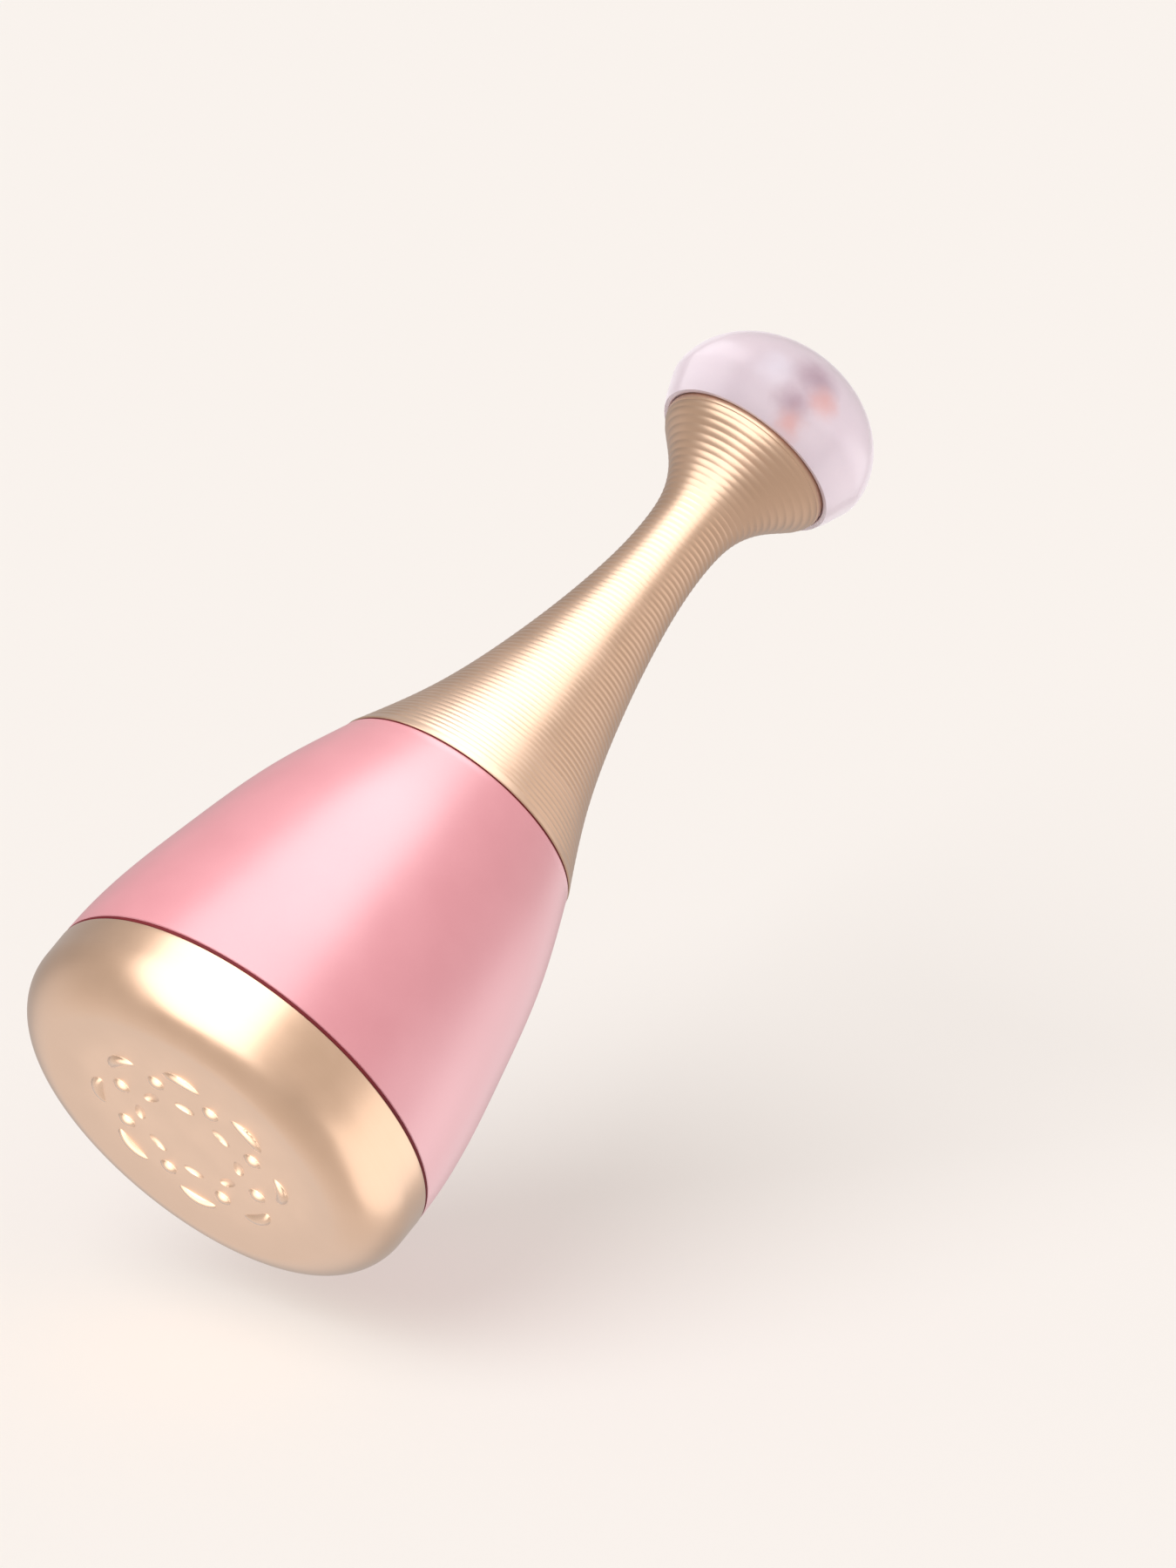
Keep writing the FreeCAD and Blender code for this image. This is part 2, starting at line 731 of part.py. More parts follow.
def make_internal_leads():
    """Motor leads, heater and sensor leads, and the cable that runs up the neck."""
    motor = [[(x, 0.0, 34.5), (x, 0.0, 37.2), (x, 7.2, 36.4), (x, 9.4, 32.2), (x, 13.7, 31.4)]
             for x in (-2.5, 2.5)]
    lead_group("motor_leads", motor, size["lead_radius"])
    across = size["lead_offset"].value
    head = []
    for y in (-0.8, 0.8):
        head.append([(across, y, 2.4), (across, y, 18.0), (across - 0.6, 7.5 + y, 21.5),
                     (10.5, 14.4, 24.0 + 1.5 * y)])
        head.append([(-across, y, 8.0), (-across, y, 18.0), (0.6 - across, 7.5 + y, 21.5),
                     (-10.5, 14.4, 24.0 + 1.5 * y)])
    lead_group("head_leads", head, size["lead_radius"])
    cable = [(0.0, 16.3, 37.5), (0.0, 16.3, 42.6), (0.0, 4.5, 44.4), (0.0, 0.0, 50.5),
             (0.0, 0.0, size["button_board_bottom"].value)]
    lead_group("button_cable", [cable], size["cable_radius"])


# ------------------------------------------------------------------ body shell

def shell_outline():
    """The pink shell's section: stepped bores inside, one smooth curve outside."""
    wall = size["shell_wall"]
    edge = 0.4
    outside = [(size["shell_low_radius"], size["shell_low_height"]),
               (size["shell_middle_radius"], size["shell_middle_height"]),
               (size["shell_high_radius"], size["shell_high_height"])]
    inside = [(radius - wall, height) for radius, height in reversed(outside[1:])]
    return [
        (size["shell_lower_bore"], size["shell_bottom"]),
        (size["head_radius"] - 0.05, size["shell_bottom"]),
        Spline(outside, start=(0, 1, 0)),
        (size["shell_top_radius"], size["shell_top"] - edge), Arc(edge, 1),
        (size["shell_top_radius"] - edge, size["shell_top"]),
        (size["shell_upper_bore"], size["shell_top"]),
        (size["shell_upper_bore"], size["shell_step"]),
        (size["shell_step_radius"], size["shell_step"]),
        Spline(inside),
        (size["shell_low_radius"] - wall - 0.1, size["spigot_top"] + 0.3),
        (size["shell_lower_bore"], size["spigot_top"] + 0.3),
    ]


def make_body_shell():
    """The shell, with the charging port's hole and recess in its back."""
    shell = turned("shell_form", shell_outline())
    floor = size["port_recess_floor"]
    height = size["port_height"]
    wide = size["port_half_width"]
    tall = size["port_half_height"]
    hole = slot_bar("port_hole", wide + 0.3, tall + 0.3, height, 18.0, floor + 1)
    recess = slot_bar("port_recess", wide + 2.0, tall + 1.7, height, floor, 30.0)
    cut("body_shell", shell, [hole, recess])


def make_port_plug():
    """The soft plug that closes the charging port and lies flush with the shell."""
    floor = size["port_recess_floor"]
    height = size["port_height"]
    wide = size["port_half_width"]
    tall = size["port_half_height"]
    gap = 0.15
    outside = turned("shell_envelope", [(0, size["shell_bottom"])] + shell_outline()[1:4]
                     + [(0, size["shell_top"] - 0.4)])
    cover = slot_bar("plug_cover", wide + 2.0 - gap, tall + 1.7 - gap, height, floor + 0.05, 30.0)
    stem = slot_bar("plug_stem", wide + 0.3 - gap, tall + 0.3 - gap, height,
                    size["port_mouth"] + 0.3, floor + 0.3)
    fused("port_plug", [shared("plug_flush_cover", cover, outside), stem])


# ------------------------------------------------------------------------ neck

def neck_stations():
    """Outer radius and height of the neck from its base, by way of the waist, to the lip."""
    return [(size["neck_base_radius"], size["neck_bottom"]), (11.9, 62.8), (8.2, 74.8),
            (5.7, 86.8), (size["waist_radius"], size["waist_height"]), (5.4, 102.7),
            (7.2, 106.3), (9.8, 109.4), (size["lip_radius"], 111.4)]


def radius_at(curve, height):
    """The curve's radius at a height, found by halving its parameter range."""
    low = curve.FirstParameter
    high = curve.LastParameter
    while high - low > 1e-7:
        middle = (low + high) / 2
        if curve.value(middle).z < height:
            low = middle
        else:
            high = middle
    return curve.value(low).x


def make_neck_sleeve():
    """The spun metal sleeve, with a fine ring turned at every pitch of its length."""
    wall = float(size["neck_wall"])
    points = [FreeCAD.Vector(float(r), 0, float(h)) for r, h in neck_stations()]
    outside = smooth_curve(points, None, (0, 0, 1))
    bottom = points[0].z
    pitch = float(size["ring_pitch"])
    depth = float(size["ring_depth"])
    plain_band = 1.2
    lip_start = points[-1].z
    count = int((lip_start - 0.8 - bottom - plain_band) / pitch)
    profile = [points[0]]
    for index in range(count + 1):
        groove = bottom + plain_band + index * pitch
        profile.append(FreeCAD.Vector(radius_at(outside, groove) - depth, 0, groove))
        if index < count:
            crest = groove + pitch / 2
            profile.append(FreeCAD.Vector(radius_at(outside, crest), 0, crest))
    profile.append(points[-1])
    lip = float(size["lip_round"])
    edge = float(size["lip_radius"])
    top = float(size["lip_top"])
    lip_bend = FreeCAD.Vector(edge, 0, top - lip)
    lip_crest = FreeCAD.Vector(edge - lip, 0, top)
    diagonal = lip * math.sqrt(0.5)
    lip_middle = FreeCAD.Vector(edge - lip + diagonal, 0, top - lip + diagonal)
    edges = [Part.LineSegment(a, b).toShape() for a, b in zip(profile, profile[1:] + [lip_bend])]
    edges.append(Part.Arc(lip_bend, lip_middle, lip_crest).toShape())
    inner = [FreeCAD.Vector(point.x - wall, 0, point.z) for point in points[::-1]]
    inner_top = FreeCAD.Vector(inner[0].x, 0, top)
    edges.append(Part.LineSegment(lip_crest, inner_top).toShape())
    edges.append(Part.LineSegment(inner_top, inner[0]).toShape())
    edges.append(smooth_curve(inner, (0, 0, -1), None).toShape())
    edges.append(Part.LineSegment(inner[-1], points[0]).toShape())
    section = Part.Face(Part.Wire(edges))
    sleeve = doc.addObject("Part::Feature", "neck_sleeve")
    sleeve.Label = "neck_sleeve"
    sleeve.Shape = section.revolve(FreeCAD.Vector(0, 0, 0), FreeCAD.Vector(0, 0, 1), 360)


def make_neck_fixings():
    """What joins the neck to the shell: seal, adapter, ring, nut and core tube."""
    base = size["neck_bottom"]
    turned("neck_seal", ring_outline(size["shell_upper_bore"] + 0.1, size["shell_top_radius"] - 0.3,
                                     size["shell_top"], base))
    bottom = size["adapter_bottom"]
    radius = size["adapter_radius"]
    thread = size["adapter_thread_radius"]
    step = size["shell_step"]
    ring = size["adapter_ring_height"]
    bore = size["adapter_bore"]
    groove = radius - size["ring_section"] * 2 + 0.05
    tube = size["core_tube_outer"] + 0.05
    turned("neck_adapter", [
        (bore, bottom), (thread, bottom), (thread, step), (radius, step), (radius, ring - 0.8),
        (groove, ring - 0.8), (groove, ring + 0.8), (radius, ring + 0.8), (radius, base),
        (15.0, base), (12.2, 58.0), (6.0, 58.0), (6.0, 64.0), (tube, 64.0), (tube, 56.0),
        (bore, 56.0)])
    o_ring("adapter_o_ring", radius - size["ring_section"] + 0.07, size["ring_section"], ring)
    nut = turned("nut_blank", ring_outline(thread + 0.05, 15.9, bottom + 0.4, step - 0.1))
    notches = []
    for index in range(4):
        x, y = around(45.0 + index * 90.0, 16.2)
        notches.append(post("nut_notch%d" % index, 1.1, bottom, step, x, y))
    cut("neck_nut", nut, notches)
    turned("neck_core_tube", ring_outline(size["core_tube_inner"], size["core_tube_outer"],
                                          58.5, 106.5))


# ------------------------------------------------------------ button and knob

def make_button_cup():
    """The moulded cup in the neck's flare that holds the button's board and guide."""
    board = size["button_board_bottom"]
    tube = size["core_tube_outer"] + 0.05
    guide = size["guide_bottom"]
    turned("button_cup", [
        (tube, size["cup_bottom"]), (4.3, size["cup_bottom"]), (5.6, 106.3), (8.1, 109.3),
        (9.4, 111.2), (9.4, size["cup_top"]), (size["guide_radius"] + 0.05, size["cup_top"]),
        (size["guide_radius"] + 0.05, guide), (7.4, guide), (7.3, 109.6), (5.8, 108.2),
        (5.8, board), (size["core_tube_inner"], board), (size["core_tube_inner"], board - 0.6),
        (tube, board - 0.6)])
    outer = size["stem_radius"] + size["stem_clearance"]
    turned("stem_guide", [
        (outer, guide), (size["guide_radius"], guide), (size["guide_radius"], size["guide_top"]),
        (3.6, size["guide_top"]), (3.6, guide + 0.35), (outer, guide + 0.35)])
    o_ring("stem_o_ring", outer + 0.45, 0.45, guide + 0.82)


def make_button_electronics():
    """The round board in the cup, its switch and its three lights."""
    bottom = size["button_board_bottom"]
    top = size["button_board_top"]
    post("button_board", 5.7, bottom, top)
    case = block("switch_case", (-2.3, 2.3), (-2.3, 2.3), (top, size["switch_top"]))
    well = post("switch_well", 0.95, top + 0.3, size["switch_top"] + 1)
    cut("switch_body", case, [well])
    post("switch_plunger", 0.9, top + 0.9, size["stem_bottom"])
    lights = []
    for index in range(3):
        x, y = around(90.0 + index * 120.0, 4.4)
        lights.append(block("light%d" % index, (x - 0.5, x + 0.5), (y - 0.5, y + 0.5),
                            (top, top + 0.7)))
    fused("indicator_leds", lights)


def make_return_spring():
    """A coil spring between the guide and the knob's core, as short arcs end to end."""
    wire = float(size["spring_wire"])
    radius = float(size["spring_radius"])
    bottom = float(size["guide_top"]) + wire + END_PLAY
    rise = float(size["spring_top"]) - wire - END_PLAY - bottom
    arcs = int(SPRING_TURNS * ARCS_PER_TURN)

    def coil_point(step):
        turn = 2 * math.pi * step / ARCS_PER_TURN
        return FreeCAD.Vector(radius * math.cos(turn), radius * math.sin(turn),
                              bottom + rise * step / arcs)

    edges = [Part.Arc(coil_point(step), coil_point(step + 0.5), coil_point(step + 1)).toShape()
             for step in range(arcs)]
    heading = edges[0].tangentAt(edges[0].FirstParameter)
    section = Part.Wire(Part.makeCircle(wire, coil_point(0), heading))
    spring = doc.addObject("Part::Feature", "return_spring")
    spring.Label = "return_spring"
    spring.Shape = Part.Wire(edges).makePipeShell([section], True, False)


def make_stem():
    """The guide pin under the knob and the clip that keeps it in the cup."""
    bottom = size["stem_bottom"]
    radius = size["stem_radius"]
    low = bottom + 0.2
    high = bottom + 0.6
    turned("knob_stem", [
        (0, bottom), (radius, bottom), (radius, low), (radius - 0.45, low),
        (radius - 0.45, high), (radius, high), (radius, 119.1), (0, 119.1)])
    ring = turned("clip_ring", ring_outline(radius - 0.42, 3.4, low + 0.02, high - 0.02))
    cut("stem_clip", ring, [block("clip_gap", (0.0, 5.0), (-1.2, 1.2), (low - 1, high + 1))])


def dome_points(radius, middle, top, angles):
    """Points on a quarter of an ellipse, at angles from its widest level."""
    points = []
    for angle in angles:
        turn = math.radians(angle)
        points.append((as_length(radius) * math.cos(turn),
                       as_length(middle) + (as_length(top) - middle) * math.sin(turn)))
    return points


def make_knob():
    """The translucent end knob, with a skirt round the neck's lip, and its milky core."""
    radius = size["knob_radius"]
    middle = size["knob_middle"]
    top = size["knob_top"]
    skirt = size["knob_skirt_bottom"]
    recess = size["knob_recess_radius"]
    ceiling = size["knob_recess_top"]
    wall = size["knob_wall"]
    edge = 0.2
    inner = radius - wall
    level = middle + 0.6
    angles = range(10, 90, 10)
    turned("knob", [
        (inner, ceiling), (recess, ceiling), (recess, skirt + edge), Arc(edge, 1),
        (recess + edge, skirt), (11.6, skirt),
        Spline([(12.2, skirt + 1.2), (12.85, skirt + 2.9)], start=(0.5, 0.87, 0),
               end=(0, 1, 0)),
        (radius, middle),
        Spline(dome_points(radius, middle, top, angles), start=(0, 1, 0), end=(-1, 0, 0)),
        (0, top), (0, top - wall),
        Spline(dome_points(inner, level, top - wall, angles[::-1]),
               start=(1, 0, 0), end=(0, -1, 0)),
        (inner, level)])
    core = inner - 0.2
    turned("knob_core", [
        (5.1, ceiling + 0.1), (core, ceiling + 0.1), (core, level),
        Spline(dome_points(core, level, top - wall - 0.2, angles), start=(0, 1, 0),
               end=(-1, 0, 0)),
        (0, top - wall - 0.2), (0, 119.1), (size["stem_radius"], 119.1),
        (size["stem_radius"], size["spring_top"]), (5.1, size["spring_top"])])


# ----------------------------------------------------------------- hand in

NODES = [
    "massage_head", "head_gasket", "head_carrier", "carrier_o_ring", "heater_film",
    "thermistor", "head_leads", "chassis", "chassis_screws", "motor_can", "motor_bush",
    "motor_end_cap", "motor_magnets", "motor_armature", "motor_shaft", "motor_boot",
    "motor_leads", "eccentric_weight", "battery_cell", "battery_pad", "battery_connector",
    "battery_leads", "main_board", "board_screws", "board_components", "charging_socket",
    "port_plug", "body_shell", "neck_seal", "neck_adapter", "adapter_o_ring", "neck_nut",
    "neck_core_tube", "neck_sleeve", "button_cable", "button_cup", "button_board",
    "switch_body", "switch_plunger", "indicator_leds", "stem_guide", "stem_o_ring",
    "return_spring", "stem_clip", "knob_stem", "knob_core", "knob",
]


def build():
    make_massage_head()
    make_head_seals()
    make_head_carrier()
    make_heater()
    make_chassis()
    make_chassis_screws()
    make_motor()
    make_eccentric_weight()
    make_battery()
    make_main_board()
    make_charging_socket()
    make_internal_leads()
    make_body_shell()
    make_port_plug()
    make_neck_sleeve()
    make_neck_fixings()
    make_button_cup()
    make_button_electronics()
    make_return_spring()
    make_stem()
    make_knob()
    doc.recompute()


def check():
    """Stop unless every object recomputed and every sub-part is a sound solid."""
    for thing in doc.Objects:
        if "Invalid" in thing.State or "Error" in thing.State:
            raise RuntimeError("%s failed to recompute: %s" % (thing.Label, thing.State))
    for name in NODES:
        shape = doc.getObjectsByLabel(name)[0].Shape
        if shape.isNull() or not shape.isValid() or not shape.Solids:
            raise RuntimeError("%s has no valid solid" % name)


def export():
    os.makedirs("parts", exist_ok=True)
    for name in NODES:
        shape = doc.getObjectsByLabel(name)[0].Shape
        shape.exportStep("parts/%s.step" % name)
        box = shape.BoundBox
        print("%-18s %2d solids %10.1f mm3  z %6.2f to %6.2f" % (
            name, len(shape.Solids), shape.Volume, box.ZMin, box.ZMax))


build()
check()
export()
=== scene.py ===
import math

import bpy
import numpy as np
from mathutils import Matrix, Vector


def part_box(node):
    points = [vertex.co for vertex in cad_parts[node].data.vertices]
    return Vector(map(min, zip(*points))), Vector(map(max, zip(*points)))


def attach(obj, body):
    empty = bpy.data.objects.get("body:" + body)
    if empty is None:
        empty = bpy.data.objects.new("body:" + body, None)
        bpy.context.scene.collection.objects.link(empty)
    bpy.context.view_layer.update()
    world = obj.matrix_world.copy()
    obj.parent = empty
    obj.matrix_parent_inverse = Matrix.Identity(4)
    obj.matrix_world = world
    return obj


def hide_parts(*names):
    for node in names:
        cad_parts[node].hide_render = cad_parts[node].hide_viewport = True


# A hand-held facial massager in satin gold metal and pink pearl lacquer, with a lilac
# end knob. Lengths are in metres in the CAD frame: +Z from the massage face to the knob.

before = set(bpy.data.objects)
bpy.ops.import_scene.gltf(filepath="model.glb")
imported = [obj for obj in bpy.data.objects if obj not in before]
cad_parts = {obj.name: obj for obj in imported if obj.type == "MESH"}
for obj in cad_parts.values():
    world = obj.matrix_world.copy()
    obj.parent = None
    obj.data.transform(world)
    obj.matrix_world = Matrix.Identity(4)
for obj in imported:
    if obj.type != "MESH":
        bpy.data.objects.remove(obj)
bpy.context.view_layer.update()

MM = 0.001
HANDSET = "handset"
KNOB = "knob"

# ------------------------------------------------------------------ places in the frame

head_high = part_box("massage_head")[1]
gasket_low, gasket_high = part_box("head_gasket")
shell_low, shell_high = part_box("body_shell")
seal_low, seal_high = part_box("neck_seal")
neck_low, neck_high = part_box("neck_sleeve")
knob_low, knob_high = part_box("knob")
core_low, core_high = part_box("knob_core")
plug_low, plug_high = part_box("port_plug")

HEAD_RADIUS = head_high.x
HEAD_WALL = 1.6 * MM
HEAD_EDGE_ROUND = 6.5 * MM
FACE_HEIGHT = 0.5 * MM
FACE_RADIUS = HEAD_RADIUS - HEAD_EDGE_ROUND

RELIEF_COUNT = 8
RELIEF_HEIGHT = 0.5 * MM
RELIEF_FROM = 5.8 * MM
RELIEF_TO = 14.6 * MM
RAISED_ROUNDNESS = 0.75
SUNK_ROUNDNESS = 0.7
DOME_RING = 10.0 * MM
DOME_HALF_WIDTH = 1.15 * MM
PETAL_RING = 13.1 * MM
PETAL_HALF_LENGTH = 2.7 * MM
PETAL_HALF_WIDTH = 0.85 * MM
PETAL_BOW = 0.5 * MM
DIMPLE_RING = 7.0 * MM
DIMPLE_HALF_LENGTH = 1.4 * MM
DIMPLE_HALF_WIDTH = 0.7 * MM
DIMPLE_DEPTH = 0.35 * MM

GASKET_BORE = 24.0 * MM
GASKET_EDGE = 0.1 * MM
SEAL_BORE = 14.9 * MM
SEAL_EDGE = 0.05 * MM

SHELL_WALL = 2.0 * MM
SHELL_STATIONS = [(25.4 * MM, 19.8 * MM), (23.4 * MM, 29.8 * MM), (20.4 * MM, 41.8 * MM)]
SHELL_FOOT_RADIUS = HEAD_RADIUS - 0.05 * MM
SHELL_TOP_RADIUS = 16.5 * MM
SHELL_EDGE = 0.4 * MM
SHELL_FOOT_EDGE = 0.15 * MM
SHELL_LOWER_BORE = 24.0 * MM
SHELL_LEDGE = (23.3 * MM, 19.3 * MM)
SHELL_SHOULDER = (16.1 * MM, 48.5 * MM)
SHELL_UPPER_BORE = 14.7 * MM

NECK_WALL = 1.2 * MM
NECK_STATIONS = [(16.4 * MM, 52.8 * MM), (11.9 * MM, 62.8 * MM), (8.2 * MM, 74.8 * MM),
                 (5.7 * MM, 86.8 * MM), (4.75 * MM, 97.8 * MM), (5.4 * MM, 102.7 * MM),
                 (7.2 * MM, 106.3 * MM), (9.8 * MM, 109.4 * MM), (10.9 * MM, 111.4 * MM)]
NECK_LIP_ROUND = 0.7 * MM
NECK_FOOT = 0.15 * MM
RING_PITCH = 0.75 * MM
RING_DEPTH = 0.09 * MM
RING_START = neck_low.z + 1.2 * MM
RING_END = 111.0 * MM

KNOB_RADIUS = knob_high.x
KNOB_MIDDLE = 116.3 * MM
KNOB_WALL = 2.3 * MM
KNOB_HOLLOW_MIDDLE = KNOB_MIDDLE + 0.6 * MM
KNOB_RECESS_RADIUS = 11.0 * MM
KNOB_RECESS_TOP = 113.3 * MM
KNOB_EDGE = 0.2 * MM
KNOB_SKIRT = [(11.6 * MM, 0.0), (12.2 * MM, 1.2 * MM), (12.85 * MM, 2.9 * MM)]
CORE_GAP = 0.2 * MM
CORE_BORE = 5.1 * MM
CORE_BORE_TOP = 119.1 * MM

PORT_HEIGHT = (plug_low.z + plug_high.z) / 2
PORT_HALF_HEIGHT = (plug_high.z - plug_low.z) / 2
PORT_HALF_WIDTH = plug_high.x
PORT_RECESS_FLOOR = 23.4 * MM
PORT_GAP = 0.15 * MM
HOLE_HALF_WIDTH = 4.8 * MM
HOLE_HALF_HEIGHT = 1.95 * MM
HOLE_START = 18 * MM
CUT_END = 30 * MM
PLUG_EDGE = 0.35 * MM
PLUG_BACK = PORT_RECESS_FLOOR + 0.05 * MM
STEM_HALF_WIDTH = 4.65 * MM
STEM_HALF_HEIGHT = 1.8 * MM
HINGE_GROOVE_PLACE = 4.6 * MM
HINGE_GROOVE_WIDTH = 0.45 * MM
HINGE_GROOVE_DEPTH = 0.3 * MM

SHARP_ANGLE = 35


# ----------------------------------------------------------------------- mesh helpers

def smooth_line(stations, per_span, start=None, end=None):
    """Points on the smooth cubic curve through the stations, with optional end directions.

    The slopes at the stations come from one set of equations, as in a cubic spline.
    """
    knots = np.array(stations, float)
    steps = np.linalg.norm(np.diff(knots, axis=0), axis=1)
    count = len(knots)
    rows = np.zeros((count, count))
    right = np.zeros((count, 2))
    for i in range(1, count - 1):
        rows[i, i - 1] = steps[i]
        rows[i, i] = 2 * (steps[i - 1] + steps[i])
        rows[i, i + 1] = steps[i - 1]
        before = (knots[i] - knots[i - 1]) / steps[i - 1]
        after = (knots[i + 1] - knots[i]) / steps[i]
        right[i] = 3 * (steps[i] * before + steps[i - 1] * after)
    for i, near, way in ((0, 1, start), (count - 1, count - 2, end)):
        rows[i, i] = 1 if way else 2
        if way:
            right[i] = way
        else:
            rows[i, near] = 1
            span = min(i, near)
            right[i] = 3 * (knots[span + 1] - knots[span]) / steps[span]
    slopes = np.linalg.solve(rows, right)
    line = []
    for i in range(count - 1):
        for step in range(per_span):
            t = step / per_span
            a = (1 + 2 * t) * (1 - t) ** 2
            b = t * (1 - t) ** 2 * steps[i]
            c = t * t * (3 - 2 * t)
            d = t * t * (t - 1) * steps[i]
            line.append(tuple(a * knots[i] + b * slopes[i] + c * knots[i + 1] + d * slopes[i + 1]))
    line.append(tuple(knots[-1]))
    return line


def arc(centre, radius, begin, finish, steps):
    """Points on a round from one angle to another, in degrees from the outward direction."""
    angles = np.radians(np.linspace(begin, finish, steps + 1))
    return [(centre[0] + radius * math.cos(a), centre[1] + radius * math.sin(a)) for a in angles]


def quarter_ellipse(radius, low, high, steps):
    """Points from the widest level up to the axis."""
    angles = np.radians(np.linspace(0, 90, steps + 1))
    return [(radius * math.cos(a), low + (high - low) * math.sin(a)) for a in angles[:-1]] \
        + [(0.0, high)]


def new_piece(name, points, faces, sharp_angle=SHARP_ANGLE):
    """A smooth-shaded object, with edges sharper than the angle kept crisp."""
    mesh = bpy.data.meshes.new(name)
    mesh.from_pydata(points, [], faces)
    mesh.validate()
    mesh.shade_smooth()
    mesh.set_sharp_from_angle(angle=math.radians(sharp_angle))
    piece = bpy.data.objects.new(name, mesh)
    bpy.context.scene.collection.objects.link(piece)
    return piece


def turned_mesh(outline, columns, closed=True, lift=None):
    """Points and faces of an outline of (radius, height) turned about +Z.

    The outline runs outward along the bottom, up the outside and down the inside. A lift
    function gives each point's height from its radius, turn and plain height.
    """
    turns = np.linspace(0, 2 * math.pi, columns, endpoint=False)
    points = []
    rows = []
    for radius, height in outline:
        if radius < 1e-9:
            rows.append([len(points)] * columns)
            points.append((0.0, 0.0, height))
            continue
        rows.append(list(range(len(points), len(points) + columns)))
        heights = lift(radius, turns, height) if lift else [height] * columns
        points.extend((radius * math.cos(turn), radius * math.sin(turn), float(level))
                      for turn, level in zip(turns, heights))
    pairs = list(zip(rows, rows[1:]))
    if closed:
        pairs.append((rows[-1], rows[0]))
    faces = []
    for low, high in pairs:
        for j in range(columns):
            k = (j + 1) % columns
            corners = [low[j], low[k], high[k], high[j]]
            faces.append([c for i, c in enumerate(corners) if c != corners[i - 1]])
    return points, [face for face in faces if len(face) > 2]


def turned_piece(name, outline, columns, closed=True, lift=None):
    """An object turned from an outline, as in turned_mesh."""
    points, faces = turned_mesh(outline, columns, closed, lift)
    return new_piece(name, points, faces)


def place(piece, body, slot, node, look=None):
    """Set a piece on its body in place of a CAD node, with the slot's finish or its own."""
    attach(piece, body)
    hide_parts(node)
    piece.data.materials.append(look or FINISH[slot])


# -------------------------------------------------------------------------- finishes

class Nodes:
    """A material's or world's node tree, with short ways to add and join nodes."""

    def __init__(self, tree):
        self.tree = tree

    def add(self, kind, **settings):
        node = self.tree.nodes.new(kind)
        for name, value in settings.items():
            setattr(node, name, value)
        return node

    def feed(self, socket, value):
        if isinstance(value, bpy.types.NodeSocket):
            self.tree.links.new(value, socket)
        else:
            socket.default_value = value

    def math(self, operation, *values, clamp=False):
        node = self.add("ShaderNodeMath", operation=operation, use_clamp=clamp)
        for socket, value in zip(node.inputs, values):
            self.feed(socket, value)
        return node.outputs[0]

    def step(self, value, low, high, bottom=0.0, top=1.0):
        """A soft step from bottom to top as the value goes from low to high."""
        node = self.add("ShaderNodeMapRange", interpolation_type="SMOOTHSTEP")
        for socket, given in zip(node.inputs, (value, low, high, bottom, top)):
            self.feed(socket, given)
        return node.outputs[0]

    def noise(self, vector, scale, detail=3.0):
        node = self.add("ShaderNodeTexNoise")
        self.feed(node.inputs["Vector"], vector)
        node.inputs["Scale"].default_value = scale
        node.inputs["Detail"].default_value = detail
        return node.outputs["Fac"]

    def blend(self, share, first, second):
        node = self.add("ShaderNodeMix", data_type="RGBA")
        self.feed(node.inputs["Factor"], share)
        self.feed(node.inputs["A"], first)
        self.feed(node.inputs["B"], second)
        return node.outputs["Result"]

    def bump(self, height, strength, distance):
        node = self.add("ShaderNodeBump")
        node.inputs["Strength"].default_value = strength
        node.inputs["Distance"].default_value = distance
        self.feed(node.inputs["Height"], height)
        return node.outputs["Normal"]


def colour(red, green, blue):
    return (red, green, blue, 1.0)


